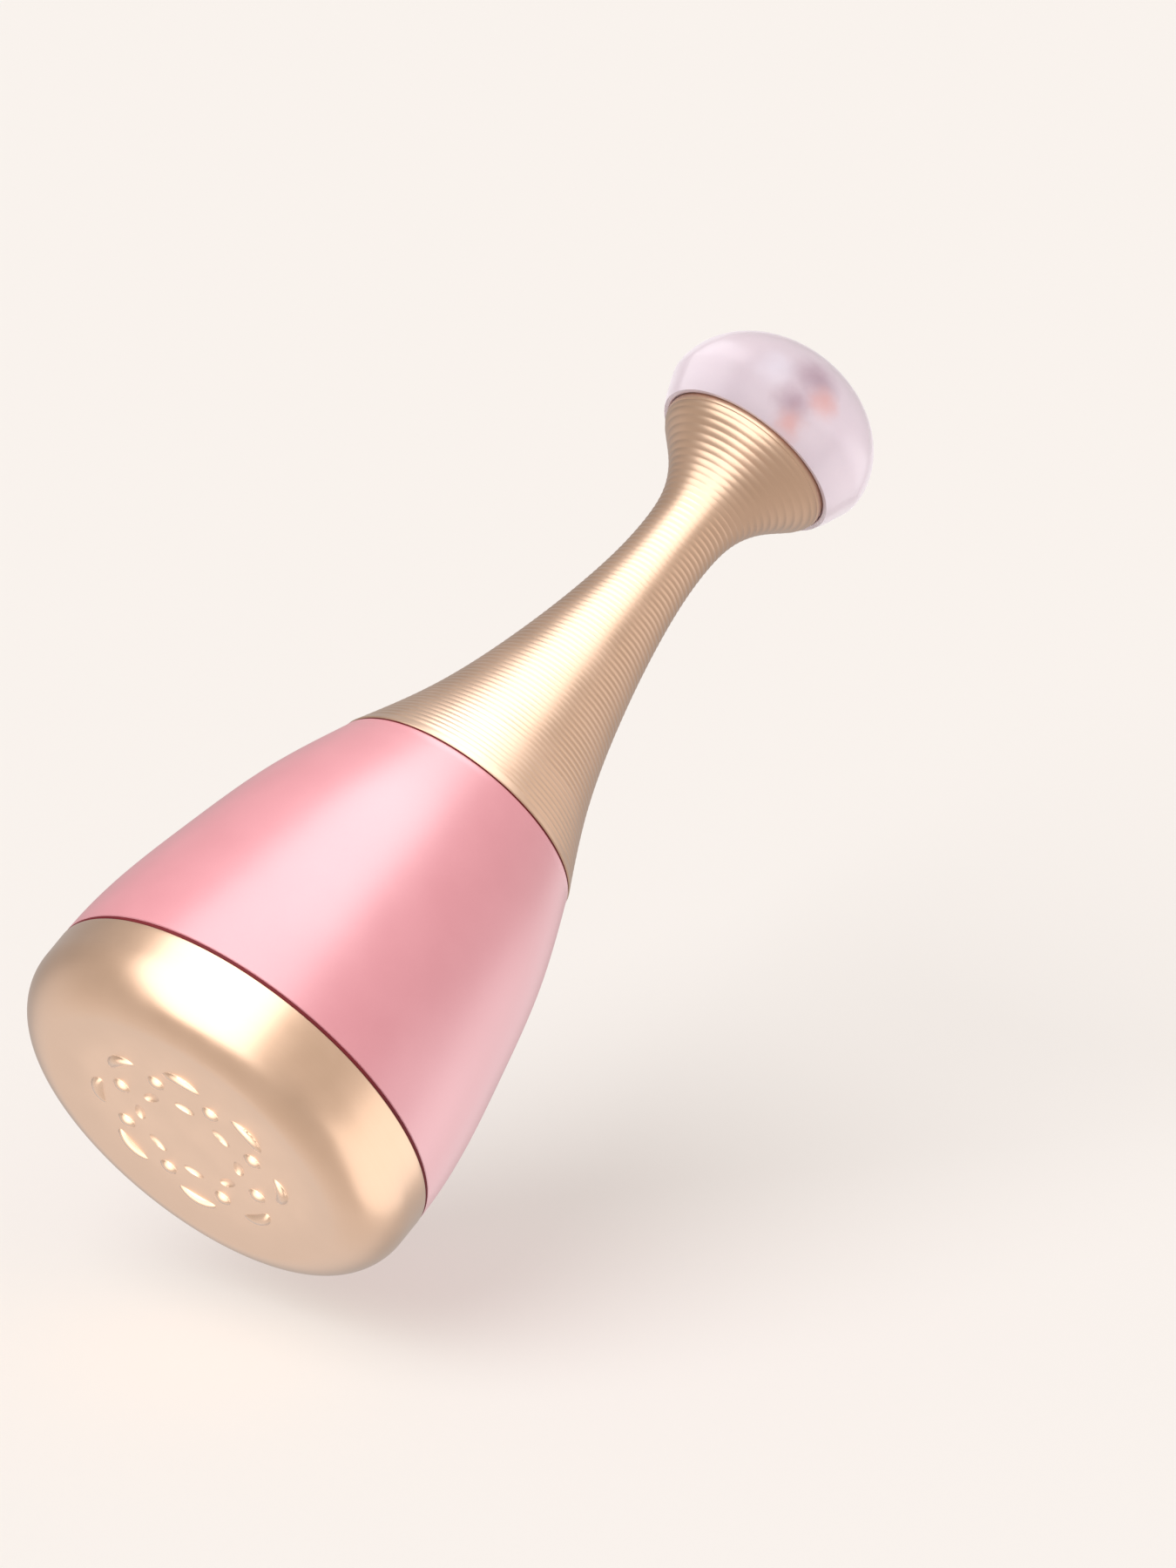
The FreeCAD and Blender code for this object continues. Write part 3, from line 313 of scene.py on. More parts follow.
def finish(slot, base, second, roughness, metallic=0.0, cell=0.4 * MM, relief=0.01 * MM,
           strength=0.3, turned=False, patch=6 * MM, polish=None, **sockets):
    """A material whose colour, roughness and surface vary by noise.

    Cell is the size of the surface grain and patch that of the colour's variation. A turned
    finish has grain that runs round the axis, as a lathe or a spinning brush leaves it. Polish
    is a share of the roughness and the level below which the surface has been polished to it.
    """
    grain_weight = 0.3
    rough_spread = 0.07
    material = bpy.data.materials.new(slot + "_finish")
    material.use_nodes = True
    nodes = Nodes(material.node_tree)
    shader = material.node_tree.nodes["Principled BSDF"]
    where = nodes.add("ShaderNodeTexCoord").outputs["Object"]
    grain_at = where
    if turned:
        parts = nodes.add("ShaderNodeSeparateXYZ")
        nodes.feed(parts.inputs[0], where)
        x, y, z = parts.outputs
        radius = nodes.math("SQRT", nodes.math("ADD", nodes.math("MULTIPLY", x, x),
                                               nodes.math("MULTIPLY", y, y)))
        joined = nodes.add("ShaderNodeCombineXYZ")
        nodes.feed(joined.inputs[0], radius)
        nodes.feed(joined.inputs[2], z)
        grain_at = joined.outputs[0]
    grain = nodes.noise(grain_at, 1 / cell)
    drift = nodes.noise(where, 1 / patch, 2.0)
    both = nodes.math("ADD", nodes.math("MULTIPLY", grain, grain_weight),
                      nodes.math("MULTIPLY", drift, 1 - grain_weight))
    share = nodes.step(both, 0.3, 0.7)
    nodes.feed(shader.inputs["Base Color"], nodes.blend(share, colour(*base), colour(*second)))
    rough = nodes.step(drift, 0.3, 0.7, roughness * (1 - rough_spread),
                       roughness * (1 + rough_spread))
    if polish:
        kept, level = polish
        polish_fade = 0.1 * MM
        height = nodes.add("ShaderNodeSeparateXYZ")
        nodes.feed(height.inputs[0], where)
        rough = nodes.math("MULTIPLY", rough, nodes.step(
            height.outputs["Z"], level - polish_fade, level, kept, 1.0))
    nodes.feed(shader.inputs["Roughness"], rough)
    nodes.feed(shader.inputs["Normal"], nodes.bump(grain, strength, relief))
    shader.inputs["Metallic"].default_value = metallic
    for name, value in sockets.items():
        shader.inputs[name.replace("_", " ")].default_value = value
    return material


def satin_gold(slot, base, second, roughness, coat_roughness=0.3, polish=None):
    """Brushed gold metal under a clear coat."""
    return finish(slot, base, second, roughness, metallic=1.0, cell=0.12 * MM,
                  relief=0.004 * MM, strength=0.25, turned=True, polish=polish,
                  Coat_Weight=1.0, Coat_Roughness=coat_roughness, Coat_IOR=1.8)


FINISH = {
    "satin_gold": satin_gold(
        "satin_gold", (0.85, 0.545, 0.355), (0.88, 0.575, 0.385), 0.31),
    "pink_pearl": finish(
        "pink_pearl", (0.56, 0.20, 0.23), (0.58, 0.215, 0.245), 0.40, metallic=0.1,
        cell=0.25 * MM, relief=0.004 * MM, strength=0.2, Coat_Weight=1.0,
        Coat_Roughness=0.33, Coat_IOR=1.85),
    "dark_red_rubber": finish(
        "dark_red_rubber", (0.11, 0.008, 0.012), (0.14, 0.012, 0.016), 0.6,
        cell=0.2 * MM, relief=0.02 * MM, Specular_IOR_Level=0.2),
    "lilac_translucent": finish(
        "lilac_translucent", (0.82, 0.70, 0.77), (0.85, 0.72, 0.78), 0.3,
        cell=0.5 * MM, relief=0.004 * MM, strength=0.15, patch=9 * MM,
        Transmission_Weight=0.3, IOR=1.46, Coat_Weight=0.3, Coat_Roughness=0.2),
    "milky_plastic": finish(
        "milky_plastic", (0.84, 0.72, 0.80), (0.90, 0.84, 0.89), 0.45,
        cell=0.5 * MM, relief=0.01 * MM, patch=5 * MM),
    "pink_silicone": finish(
        "pink_silicone", (0.78, 0.29, 0.33), (0.81, 0.32, 0.36), 0.55,
        cell=0.2 * MM, relief=0.02 * MM),
    "white_plastic": finish(
        "white_plastic", (0.78, 0.77, 0.74), (0.84, 0.83, 0.80), 0.42, cell=0.3 * MM),
    "black_plastic": finish(
        "black_plastic", (0.02, 0.02, 0.022), (0.035, 0.035, 0.037), 0.45, cell=0.2 * MM),
    "clear_plastic": finish(
        "clear_plastic", (0.85, 0.87, 0.88), (0.90, 0.92, 0.93), 0.15,
        Transmission_Weight=0.8, IOR=1.49),
    "black_rubber": finish(
        "black_rubber", (0.015, 0.015, 0.016), (0.028, 0.028, 0.03), 0.7, cell=0.15 * MM,
        relief=0.02 * MM),
    "grey_silicone": finish(
        "grey_silicone", (0.30, 0.31, 0.33), (0.36, 0.37, 0.39), 0.6, cell=0.3 * MM),
    "grey_foam": finish(
        "grey_foam", (0.16, 0.16, 0.17), (0.30, 0.30, 0.31), 0.95, cell=0.35 * MM,
        relief=0.2 * MM, strength=0.8),
    "silver_pouch": finish(
        "silver_pouch", (0.62, 0.63, 0.65), (0.74, 0.75, 0.77), 0.32, metallic=0.9,
        cell=2.5 * MM, relief=0.08 * MM, strength=0.5),
    "amber_film": finish(
        "amber_film", (0.62, 0.26, 0.04), (0.72, 0.34, 0.07), 0.25, cell=0.8 * MM,
        Coat_Weight=0.6),
    "green_board": finish(
        "green_board", (0.012, 0.13, 0.05), (0.03, 0.22, 0.09), 0.35, cell=0.6 * MM,
        patch=1.5 * MM, Coat_Weight=0.4),
    "white_wire": finish(
        "white_wire", (0.74, 0.74, 0.72), (0.80, 0.80, 0.78), 0.5, cell=0.3 * MM),
    "red_wire": finish(
        "red_wire", (0.52, 0.02, 0.02), (0.60, 0.035, 0.03), 0.45, cell=0.3 * MM),
    "steel": finish(
        "steel", (0.56, 0.56, 0.57), (0.66, 0.66, 0.67), 0.28, metallic=1.0,
        cell=0.1 * MM, relief=0.004 * MM, turned=True),
    "dark_metal": finish(
        "dark_metal", (0.16, 0.16, 0.17), (0.24, 0.24, 0.25), 0.45, metallic=1.0,
        cell=0.15 * MM),
    "copper": finish(
        "copper", (0.72, 0.32, 0.18), (0.82, 0.40, 0.24), 0.3, metallic=1.0,
        cell=0.2 * MM, relief=0.03 * MM, turned=True),
    "brass": finish(
        "brass", (0.68, 0.48, 0.20), (0.76, 0.56, 0.27), 0.28, metallic=1.0,
        cell=0.1 * MM, relief=0.005 * MM, turned=True),
    "led_lens": finish(
        "led_lens", (0.82, 0.80, 0.62), (0.90, 0.88, 0.72), 0.2, cell=0.2 * MM,
        Coat_Weight=0.8),
}

HEAD_GOLD = satin_gold("head_gold", (0.81, 0.52, 0.335), (0.84, 0.55, 0.365), 0.31,
                       polish=(0.6, FACE_HEIGHT))
NECK_GOLD = satin_gold("neck_gold", (0.67, 0.41, 0.25), (0.70, 0.435, 0.275), 0.34,
                       coat_roughness=0.4)

# Colours of a painted highlight (pearl), a painted refraction (mauve) and a painted reflection
# (coral) on the knob's front.
MAUVE_REFRACTION = colour(0.46, 0.29, 0.37)
CORAL_REFLECTION = colour(0.86, 0.46, 0.43)
PEARL_HIGHLIGHT = colour(0.91, 0.84, 0.93)
# Painted spots in the knob's colour: a painted highlight in pearl, painted refractions in mauve
# and painted reflections in coral. Each: its middle, its reach and its colour.
KNOB_PAINTED_REFLECTIONS = [((-4.0 * MM, -12.5 * MM, 117.9 * MM), 3.6 * MM, PEARL_HIGHLIGHT),
               ((0.6 * MM, -12.2 * MM, 120.0 * MM), 4.6 * MM, MAUVE_REFRACTION),
               ((0.2 * MM, -13.2 * MM, 115.0 * MM), 3.4 * MM, MAUVE_REFRACTION),
               ((3.0 * MM, -12.6 * MM, 118.0 * MM), 3.1 * MM, CORAL_REFLECTION),
               ((1.2 * MM, -12.3 * MM, 113.0 * MM), 3.0 * MM, CORAL_REFLECTION)]


def paint_knob_reflections(material, reflection_spots):
    """Painted highlight, refraction and reflection spots in the resin's colour, each round a place
    and with a torn edge.
    """
    tear_size = 3 * MM
    fade_from = 1.2 * MM
    fade_margin = 1.4 * MM
    strongest = 0.8
    nodes = Nodes(material.node_tree)
    base = material.node_tree.nodes["Principled BSDF"].inputs["Base Color"]
    mixed = base.links[0].from_socket
    where = nodes.add("ShaderNodeTexCoord").outputs["Object"]
    tear = nodes.math("MULTIPLY", nodes.noise(where, 1 / tear_size), tear_size)
    for centre, reach, tint in reflection_spots:
        away = nodes.add("ShaderNodeVectorMath", operation="DISTANCE")
        nodes.feed(away.inputs[0], where)
        nodes.feed(away.inputs[1], centre)
        spread = nodes.math("ADD", away.outputs["Value"], tear)
        share = nodes.step(spread, reach + fade_margin, fade_from, 0.0, strongest)
        mixed = nodes.blend(share, mixed, tint)
    nodes.feed(base, mixed)


# Paint the highlight, refraction and reflection spots into the knob's colour.
paint_knob_reflections(FINISH["lilac_translucent"], KNOB_PAINTED_REFLECTIONS)

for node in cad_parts.values():
    for index, material in enumerate(node.data.materials):
        node.data.materials[index] = FINISH[material.name.split(".")[0]]


# ----------------------------------------------------------------------- massage head

def near_form(radius, turns, ring, first_angle, half_length, half_width, bow=0.0):
    """How far inside the nearest oval of a ring each point is: 0 at its edge, 1 at its middle."""
    pitch = 2 * math.pi / RELIEF_COUNT
    off = (turns - math.radians(first_angle) + pitch / 2) % pitch - pitch / 2
    along = ring * off / half_length
    across = (radius - ring + bow * along ** 2) / half_width
    return np.clip(1 - along ** 2 - across ** 2, 0, 1)


def face_lift(radius, turns, height):
    """The pressed relief of the massage face, which points down."""
    half_step = 180 / RELIEF_COUNT
    domes = near_form(radius, turns, DOME_RING, 0, DOME_HALF_WIDTH, DOME_HALF_WIDTH)
    petals = near_form(radius, turns, PETAL_RING, half_step, PETAL_HALF_LENGTH,
                       PETAL_HALF_WIDTH, PETAL_BOW)
    dimples = near_form(radius, turns, DIMPLE_RING, half_step, DIMPLE_HALF_LENGTH,
                        DIMPLE_HALF_WIDTH)
    raised = np.maximum(domes, petals) ** RAISED_ROUNDNESS * RELIEF_HEIGHT
    sunk = dimples ** SUNK_ROUNDNESS * DIMPLE_DEPTH
    return height - raised + sunk


def make_massage_head():
    """The drawn metal cap: a flat face with its relief, a wide bend, a side and a rim."""
    columns = 720
    fine_step = 0.1 * MM
    radii = list(np.linspace(0, RELIEF_FROM, 8)) \
        + list(np.arange(RELIEF_FROM, RELIEF_TO, fine_step))[1:] \
        + list(np.linspace(RELIEF_TO, FACE_RADIUS, 12))
    face = [(float(radius), FACE_HEIGHT) for radius in radii]
    bend_level = FACE_HEIGHT + HEAD_EDGE_ROUND
    bend = arc((FACE_RADIUS, bend_level), HEAD_EDGE_ROUND, -90, 0, 36)[1:]
    rim = 0.2 * MM
    side = [(HEAD_RADIUS, level) for level in np.linspace(bend_level, head_high.z - rim, 8)[1:]]
    lip = arc((HEAD_RADIUS - rim, head_high.z - rim), rim, 0, 90, 4)[1:]
    inner = HEAD_RADIUS - HEAD_WALL
    inside = [(inner, head_high.z), (inner, bend_level)] \
        + arc((FACE_RADIUS, bend_level), HEAD_EDGE_ROUND - HEAD_WALL, 0, -90, 12)[1:] \
        + [(0.0, FACE_HEIGHT + HEAD_WALL)]

    def lift(radius, turns, height):
        if height > FACE_HEIGHT or radius > RELIEF_TO:
            return [height] * len(turns)
        return face_lift(radius, turns, height)

    cap = turned_piece("massage_cap", face + bend + side + lip + inside, columns,
                       closed=False, lift=lift)
    place(cap, HANDSET, "satin_gold", "massage_head", HEAD_GOLD)
    return cap


def ring_band(name, inner, outer, low, high, edge, columns=256):
    """A flat ring whose outer edges are rounded."""
    return turned_piece(name, [(inner, low), (outer - edge, low)]
                        + arc((outer - edge, low + edge), edge, -90, 0, 4)[1:]
                        + arc((outer - edge, high - edge), edge, 0, 90, 4)
                        + [(inner, high)], columns)


def make_seals():
    """The red gasket under the cap's rim and the thin dark ring under the neck."""
    gasket = ring_band("gasket_ring", GASKET_BORE, gasket_high.x, gasket_low.z,
                       gasket_high.z, GASKET_EDGE)
    place(gasket, HANDSET, "dark_red_rubber", "head_gasket")
    seal = ring_band("neck_seal_ring", SEAL_BORE, seal_high.x, seal_low.z, seal_high.z,
                     SEAL_EDGE)
    place(seal, HANDSET, "dark_red_rubber", "neck_seal")


# ------------------------------------------------------------------------- body shell

def shell_line(per_span=14):
    """The shell's outside, from its foot to the start of its top edge."""
    ends = [(SHELL_FOOT_RADIUS, shell_low.z)] + SHELL_STATIONS \
        + [(SHELL_TOP_RADIUS, shell_high.z - SHELL_EDGE)]
    return smooth_line(ends, per_span, start=(0, 1))


def shell_radius(height):
    """The shell's outer radius at a height."""
    line = np.array(shell_line())
    return float(np.interp(height, line[:, 1], line[:, 0]))


def stadium(half_width, half_height, steps=16):
    """Points (x, z) round a slot shape, from its right side, turning left."""
    flat = half_width - half_height
    return arc((flat, 0), half_height, -90, 90, steps) \
        + arc((-flat, 0), half_height, 90, 270, steps)


def slot_cutter(name, half_width, half_height, start, end):
    """A prism along +Y with a slot shape, to cut with."""
    loop = stadium(half_width, half_height)
    count = len(loop)
    points = [(x, y, PORT_HEIGHT + z) for y in (start, end) for x, z in loop]
    faces = [list(range(count)), list(range(2 * count - 1, count - 1, -1))]
    faces += [[i, i + count, (i + 1) % count + count, (i + 1) % count] for i in range(count)]
    return new_piece(name, points, faces)


def make_body_shell():
    """The pearl shell with its hollow, and the recess and hole of the charging port."""
    top = shell_high.z
    outside = shell_line()
    outside[0] = (outside[0][0], outside[0][1] + SHELL_FOOT_EDGE)
    inside = [(radius - SHELL_WALL, height) for radius, height in SHELL_STATIONS[::-1][:2]]
    outline = [(SHELL_LOWER_BORE, shell_low.z),
               (SHELL_FOOT_RADIUS - SHELL_FOOT_EDGE, shell_low.z)] \
        + outside \
        + arc((SHELL_TOP_RADIUS - SHELL_EDGE, top - SHELL_EDGE), SHELL_EDGE, 0, 90, 5)[1:] \
        + [(SHELL_UPPER_BORE, top), (SHELL_UPPER_BORE, SHELL_SHOULDER[1]), SHELL_SHOULDER] \
        + inside + [SHELL_LEDGE, (SHELL_LOWER_BORE, SHELL_LEDGE[1])]
    shell = turned_piece("pearl_shell", outline, 384)
    cutters = [slot_cutter("recess_cutter", PORT_HALF_WIDTH + PORT_GAP,
                           PORT_HALF_HEIGHT + PORT_GAP, PORT_RECESS_FLOOR, CUT_END),
               slot_cutter("hole_cutter", HOLE_HALF_WIDTH, HOLE_HALF_HEIGHT, HOLE_START,
                           PORT_RECESS_FLOOR + MM)]
    for cutter in cutters:
        cut = shell.modifiers.new("port", "BOOLEAN")
        cut.operation = "DIFFERENCE"
        cut.solver = "EXACT"
        cut.object = cutter
    bpy.context.view_layer.update()
    shaped = bpy.data.meshes.new_from_object(shell.evaluated_get(
        bpy.context.evaluated_depsgraph_get()))
    shell.modifiers.clear()
    shell.data = shaped
    shell.data.shade_smooth()
    shell.data.set_sharp_from_angle(angle=math.radians(SHARP_ANGLE))
    for cutter in cutters:
        bpy.data.objects.remove(cutter)
    place(shell, HANDSET, "pink_pearl", "body_shell")
    return shell


def make_port_cover():
    """The soft plug: a slot-shaped cover flush with the shell, on a stem into the port.

    Loops of points run from the middle of its face to its edge, over its back and down the
    stem. A groove across the face marks where it would bend.
    """
    cover = stadium(PORT_HALF_WIDTH, PORT_HALF_HEIGHT)
    stem = stadium(STEM_HALF_WIDTH, STEM_HALF_HEIGHT)
    round_from = 0.9
    rings = []
    for share in np.linspace(0.08, 1.0, 10):
        over = max(0.0, (share - round_from) / (1 - round_from))
        inset = PLUG_EDGE * (1 - math.sqrt(max(0.0, 1 - over ** 2)))
        loop = []
        for x, z in [(x * share, z * share) for x, z in cover]:
            off = (x - HINGE_GROOVE_PLACE) / HINGE_GROOVE_WIDTH
            sunk = inset + HINGE_GROOVE_DEPTH * math.exp(-off ** 2)
            reach = shell_radius(PORT_HEIGHT + z)
            loop.append((x, math.sqrt(reach ** 2 - x ** 2) - sunk, PORT_HEIGHT + z))
        rings.append(loop)
    for outline, level in ((cover, PLUG_BACK), (stem, PLUG_BACK), (stem, plug_low.y)):
        rings.append([(x, level, PORT_HEIGHT + z) for x, z in outline])
    count = len(rings[0])
    points = [point for ring in rings for point in ring]
    faces = [list(range(count))]
    for low in range(len(rings) - 1):
        for i in range(count):
            k = (i + 1) % count
            faces.append([low * count + i, (low + 1) * count + i,
                          (low + 1) * count + k, low * count + k])
    faces.append(list(range(len(points) - 1, len(points) - count - 1, -1)))
    plug = new_piece("port_cover", points, faces, 40)
    place(plug, "port_plug", "pink_silicone", "port_plug")


# ------------------------------------------------------------------------------- neck

def make_neck():
    """The gold sleeve, turned with a fine round ridge at every pitch."""
    curve = np.array(smooth_line(NECK_STATIONS, 24, end=(0, 1)))

    def plain_radius(height):
        return float(np.interp(height, curve[:, 1], curve[:, 0]))

    per_ring = 8
    foot_radius = NECK_STATIONS[0][0]
    outline = [(foot_radius - NECK_WALL, neck_low.z), (foot_radius - NECK_FOOT, neck_low.z)]
    heights = [neck_low.z + NECK_FOOT] \
        + list(np.linspace(neck_low.z + 2 * NECK_FOOT, RING_START, 4))[:-1]
    outline += [(plain_radius(height), height) for height in heights]
    count = round((RING_END - RING_START) / RING_PITCH)
    for step in range(count * per_ring + 1):
        height = RING_START + (RING_END - RING_START) * step / (count * per_ring)
        phase = math.pi * step / per_ring
        outline.append((plain_radius(height) - RING_DEPTH * (1 - abs(math.sin(phase))), height))
    lip_level = neck_high.z - NECK_LIP_ROUND
    lip_radius = NECK_STATIONS[-1][0]
    outline += [(plain_radius(height), height)
                for height in np.linspace(RING_END, NECK_STATIONS[-1][1], 5)[1:]]
    outline += arc((lip_radius - NECK_LIP_ROUND, lip_level), NECK_LIP_ROUND, 0, 90, 8)
    outline += [(lip_radius - NECK_WALL, neck_high.z)]
    outline += [(radius - NECK_WALL, height) for radius, height in curve[::-12]][:-1]
    neck = turned_piece("ringed_neck", outline, 224)
    place(neck, HANDSET, "satin_gold", "neck_sleeve", NECK_GOLD)
    return neck


# ------------------------------------------------------------------------------- knob

def make_knob():
    """The hollow lilac knob and the milky core that fills it."""
    bottom = knob_low.z
    inner = KNOB_RADIUS - KNOB_WALL
    skirt = smooth_line([(radius, bottom + rise) for radius, rise in KNOB_SKIRT]
                        + [(KNOB_RADIUS, KNOB_MIDDLE)], 8, start=(0.5, 0.87), end=(0, 1))
    dome = quarter_ellipse(KNOB_RADIUS, KNOB_MIDDLE, knob_high.z, 48)[1:]
    hollow = quarter_ellipse(inner, KNOB_HOLLOW_MIDDLE, knob_high.z - KNOB_WALL, 32)[::-1]
    outline = [(inner, KNOB_RECESS_TOP), (KNOB_RECESS_RADIUS, KNOB_RECESS_TOP)] \
        + arc((KNOB_RECESS_RADIUS + KNOB_EDGE, bottom + KNOB_EDGE), KNOB_EDGE, 180, 270, 4) \
        + skirt + dome
    knob = turned_piece("lilac_knob", outline + hollow, 256)
    place(knob, KNOB, "lilac_translucent", "knob")
    core = inner - CORE_GAP
    heart = turned_piece("milky_heart", [(CORE_BORE, core_low.z), (core, core_low.z)]
                         + quarter_ellipse(core, KNOB_HOLLOW_MIDDLE, core_high.z, 32)
                         + [(0.0, CORE_BORE_TOP), (CORE_BORE, CORE_BORE_TOP)], 192)
    place(heart, KNOB, "milky_plastic", "knob_core")
    return knob


# ------------------------------------------------------------------- camera and stage

CAMERA_BELOW = math.radians(24.035)
CAMERA_ROLL = math.radians(39.125)
SCREEN_BACK = Vector((0, -math.cos(CAMERA_BELOW), -math.sin(CAMERA_BELOW)))
SCREEN_RIGHT = Vector((math.cos(CAMERA_ROLL), math.sin(CAMERA_ROLL) * SCREEN_BACK.z,
                       -math.sin(CAMERA_ROLL) * SCREEN_BACK.y))
SCREEN_UP = SCREEN_BACK.cross(SCREEN_RIGHT)
CAMERA_DISTANCE = 2.0
VIEW_LEVEL = 10.8 * MM
VIEW_OFFSET = (39.73 * MM, 33.55 * MM)

PALE = (0.953, 0.895, 0.847)
FLOOR_TINT = (0.50, 0.485, 0.475)
FLOOR_GLOW = (0.417, 0.39, 0.363)
FLOOR_TILT = math.radians(22)
FLOOR_GAP = 6 * MM
FLOOR_HALF = 1.2


def make_camera():
    """A long lens from below the massage face, rolled so that the object leans right."""
    data = bpy.data.cameras.new("camera")
    data.lens = 400
    data.sensor_width = 36
    data.clip_end = 20
    camera = bpy.data.objects.new("camera", data)
    bpy.context.scene.collection.objects.link(camera)
    turn = Matrix((SCREEN_RIGHT, SCREEN_UP, SCREEN_BACK)).transposed()
    spot = Vector((0, 0, VIEW_LEVEL)) + SCREEN_RIGHT * VIEW_OFFSET[0] \
        + SCREEN_UP * VIEW_OFFSET[1] + SCREEN_BACK * CAMERA_DISTANCE
    camera.matrix_world = Matrix.Translation(spot) @ turn.to_4x4()
    bpy.context.scene.camera = camera


def floor_normal():
    """Up from the floor, which leans a little towards the camera."""
    return SCREEN_UP * math.cos(FLOOR_TILT) + SCREEN_BACK * math.sin(FLOOR_TILT)


def make_floor():
    """A plain pale floor under the object as the camera sees it, clear from underneath."""
    normal = floor_normal()
    rim_level = (FACE_HEIGHT + HEAD_EDGE_ROUND) * normal.z
    across = math.hypot(normal.x, normal.y)
    lowest = rim_level - FACE_RADIUS * across - HEAD_EDGE_ROUND - FLOOR_GAP
    mesh = bpy.data.meshes.new("floor")
    corners = [(-1, -1), (1, -1), (1, 1), (-1, 1)]
    mesh.from_pydata([(x * FLOOR_HALF, y * FLOOR_HALF, 0) for x, y in corners],
                     [], [(0, 1, 2, 3)])
    floor = bpy.data.objects.new("floor", mesh)
    bpy.context.scene.collection.objects.link(floor)
    floor.matrix_world = Matrix.Translation(normal * lowest) \
        @ normal.to_track_quat("Z", "Y").to_matrix().to_4x4()
    material = bpy.data.materials.new("pale_floor")
    material.use_nodes = True
    shader = material.node_tree.nodes["Principled BSDF"]
    shader.inputs["Base Color"].default_value = colour(*FLOOR_TINT)
    shader.inputs["Roughness"].default_value = 1.0
    shader.inputs["Specular IOR Level"].default_value = 0.0
    shader.inputs["Emission Color"].default_value = colour(*FLOOR_GLOW)
    shader.inputs["Emission Strength"].default_value = 1.0
    nodes = Nodes(material.node_tree)
    mix = nodes.add("ShaderNodeMixShader")
    nodes.feed(mix.inputs[0], nodes.add("ShaderNodeNewGeometry").outputs["Backfacing"])
    nodes.feed(mix.inputs[1], shader.outputs[0])
    nodes.feed(mix.inputs[2], nodes.add("ShaderNodeBsdfTransparent").outputs[0])
    nodes.feed(material.node_tree.nodes["Material Output"].inputs["Surface"], mix.outputs[0])
    mesh.materials.append(material)
    floor.visible_glossy = False
    floor.visible_diffuse = False
    floor.visible_transmission = False
    floor.visible_shadow = False
    return floor


# -------------------------------------------------------------------------- lighting

COOL = (0.98, 0.99, 1.0)
COLD = (0.82, 0.92, 1.0)
WARM = (1.0, 0.98, 0.95)


def add_light(name, kind, energy, pieces, **settings):
    """A light that the camera doesn't see and that reaches only these pieces."""
    data = bpy.data.lights.new(name, kind)
    data.energy = energy
    for setting, value in settings.items():
        setattr(data, setting, value)
    lamp = bpy.data.objects.new(name, data)
    bpy.context.scene.collection.objects.link(lamp)
    lamp.visible_camera = False
    group = bpy.data.collections.new(name + "_pieces")
    for piece in pieces:
        group.objects.link(piece)
    lamp.light_linking.receiver_collection = group
    return lamp


def soft_panel(name, pieces, energy, toward, width, height, centre, climb=0, distance=0.42,
               tint=COOL):
    """A soft rectangular light that looks at the place at the centre height on the axis.

    Toward is in degrees round the axis from the front to the right, and climb in degrees up.
    """
    lamp = add_light(name, "AREA", energy, pieces, shape="RECTANGLE", size=width,
                     size_y=height, color=tint)
    angle = math.radians(toward)
    rise = math.radians(climb)
    out = Vector((math.sin(angle) * math.cos(rise), -math.cos(angle) * math.cos(rise),
                  math.sin(rise)))
    side = Vector((0, 0, 1)).cross(out).normalized()
    turn = Matrix((side, out.cross(side), out)).transposed()
    lamp.matrix_world = Matrix.Translation(out * distance + Vector((0, 0, centre))) \
        @ turn.to_4x4()


def face_light(cap):
    """A close round light under the relief, narrow enough to miss the flat of the face."""
    gap = 4 * MM
    lamp = add_light("face_light", "AREA", 0.0016, [cap], shape="DISK", size=32 * MM,
                     spread=math.radians(100), color=WARM)
    lamp.matrix_world = Matrix.Translation(Vector((0, 0, -gap))) \
        @ Matrix.Rotation(math.pi, 4, "X")


def floor_light(floor):
    """A wide sun from the left for the floor alone, so the shadow falls softly to the right."""
    slant = 0.9
    lamp = add_light("floor_light", "SUN", 2.0, [floor], angle=math.radians(50))
    source = floor_normal() - SCREEN_RIGHT * slant + SCREEN_BACK * slant
    lamp.matrix_world = source.to_track_quat("Z", "Y").to_matrix().to_4x4()


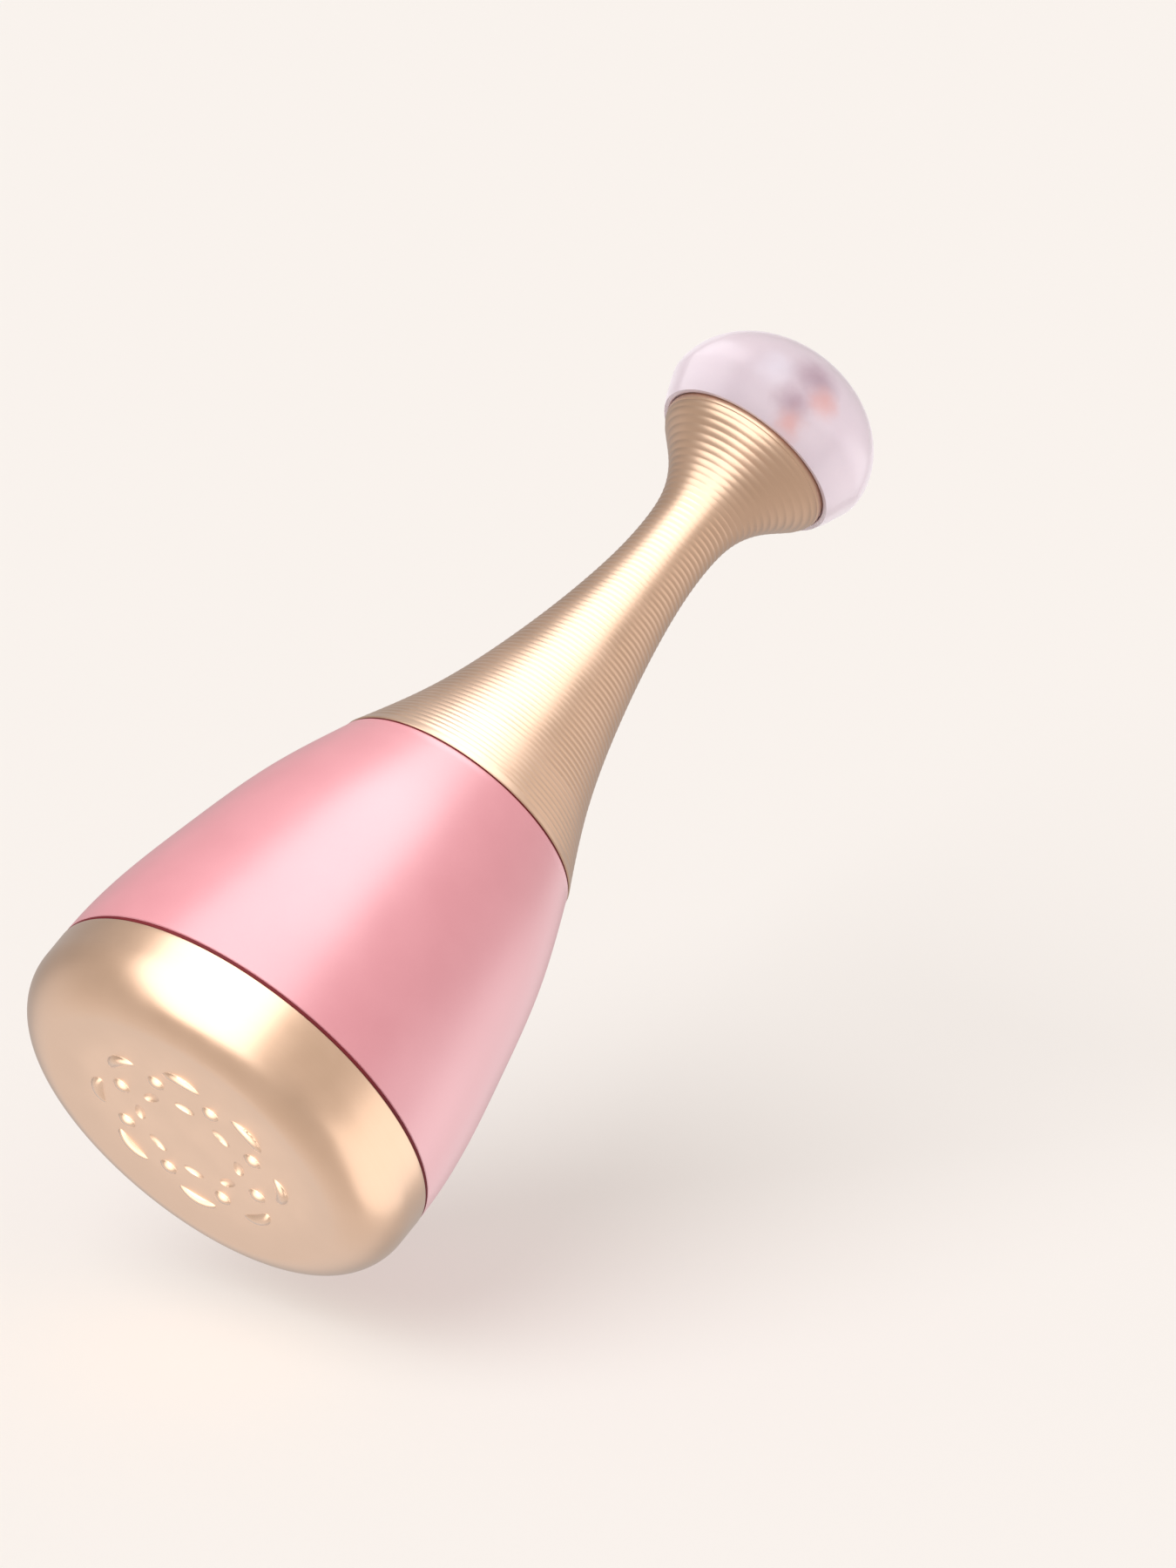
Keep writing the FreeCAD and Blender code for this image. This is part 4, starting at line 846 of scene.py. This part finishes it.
def make_world():
    """Pale studio air: what the camera sees is plain, what the object reflects has soft bands."""
    world = bpy.data.worlds.new("studio")
    bpy.context.scene.world = world
    world.use_nodes = True
    nodes = Nodes(world.node_tree)
    world.node_tree.nodes.clear()
    way = nodes.add("ShaderNodeTexCoord").outputs["Generated"]
    parts = nodes.add("ShaderNodeSeparateXYZ")
    nodes.feed(parts.inputs[0], way)
    x, y, z = parts.outputs
    left_level = 0.54
    right_level = 0.66
    behind_dimming = 0.18
    floor_level = 0.36
    steep_dimming = 0.10
    behind = nodes.step(y, 0.1, 0.95)
    below = nodes.step(z, 0.1, -0.35)
    front = nodes.step(y, 0.1, -0.4)
    steep = nodes.math("MULTIPLY", front, nodes.step(z, -0.3, -0.8))
    open_room = nodes.math("SUBTRACT", nodes.step(x, -0.9, -0.1, left_level, right_level),
                           nodes.math("MULTIPLY", behind, behind_dimming))
    floor_glow = nodes.math("MULTIPLY", nodes.math("MULTIPLY", behind, below), floor_level)
    level = nodes.math("SUBTRACT", nodes.math("ADD", open_room, floor_glow),
                       nodes.math("MULTIPLY", steep, steep_dimming))
    lit = nodes.add("ShaderNodeBackground")
    lit.inputs["Color"].default_value = colour(1.0, 0.955, 0.925)
    nodes.feed(lit.inputs["Strength"], level)
    plain = nodes.add("ShaderNodeBackground")
    plain.inputs["Color"].default_value = colour(*PALE)
    plain.inputs["Strength"].default_value = 1.0
    path = nodes.add("ShaderNodeLightPath").outputs
    seen = nodes.math("MAXIMUM", path["Is Camera Ray"], path["Is Transmission Ray"])
    mix = nodes.add("ShaderNodeMixShader")
    nodes.feed(mix.inputs[0], seen)
    nodes.feed(mix.inputs[1], lit.outputs[0])
    nodes.feed(mix.inputs[2], plain.outputs[0])
    output = nodes.add("ShaderNodeOutputWorld")
    nodes.feed(output.inputs["Surface"], mix.outputs[0])


def make_lights(cap, shell, neck, knob, floor):
    """Panels in metres and watts: a key on the left and a rim on the right of each piece."""
    rest = [piece for piece in bpy.data.objects
            if piece.type == "MESH" and piece not in (neck, knob, floor)]
    soft_panel("key_panel", rest, 7.8, toward=-40, width=0.6, height=1.9, centre=0.05)
    soft_panel("rim_panel", rest, 1.05, toward=86, width=0.55, height=0.8, centre=0.0,
               distance=0.45)
    soft_panel("shell_side", [shell], 1.0, toward=118, width=0.6, height=0.8, centre=0.1,
               distance=0.45)
    soft_panel("shell_top", [shell], 1.3, toward=-50, width=0.6, height=0.6, centre=0.75)
    soft_panel("neck_key", [neck], 6.8, toward=-35, width=0.8, height=1.4, centre=0.35,
               tint=COLD)
    soft_panel("neck_top", [neck], 1.5, toward=-56, width=0.4, height=0.56, centre=0.07,
               climb=66, distance=0.5, tint=COLD)
    soft_panel("neck_low", [neck], 0.8, toward=-24, width=0.24, height=0.5, centre=-0.5,
               tint=COLD)
    soft_panel("neck_side", [neck], 0.3, toward=80, width=0.5, height=0.4, centre=0.5,
               distance=0.3)
    for name, toward, width, energy in (("knob_front", 0, 1.0, 2.0),
                                        ("knob_left", -100, 0.5, 1.7),
                                        ("knob_right", 100, 0.5, 1.1),
                                        ("knob_back", 180, 0.6, 0.7)):
        soft_panel(name, [knob], energy, toward=toward, width=width, height=0.6, centre=0.2)
    face_light(cap)
    floor_light(floor)


# ------------------------------------------------------------------------- put together

massage_cap = make_massage_head()
make_seals()
pearl_shell = make_body_shell()
make_port_cover()
ringed_neck = make_neck()
lilac_knob = make_knob()
make_camera()
pale_floor = make_floor()
make_world()
make_lights(massage_cap, pearl_shell, ringed_neck, lilac_knob, pale_floor)
settings = bpy.context.scene.view_settings
settings.view_transform = "Standard"
settings.look = "None"
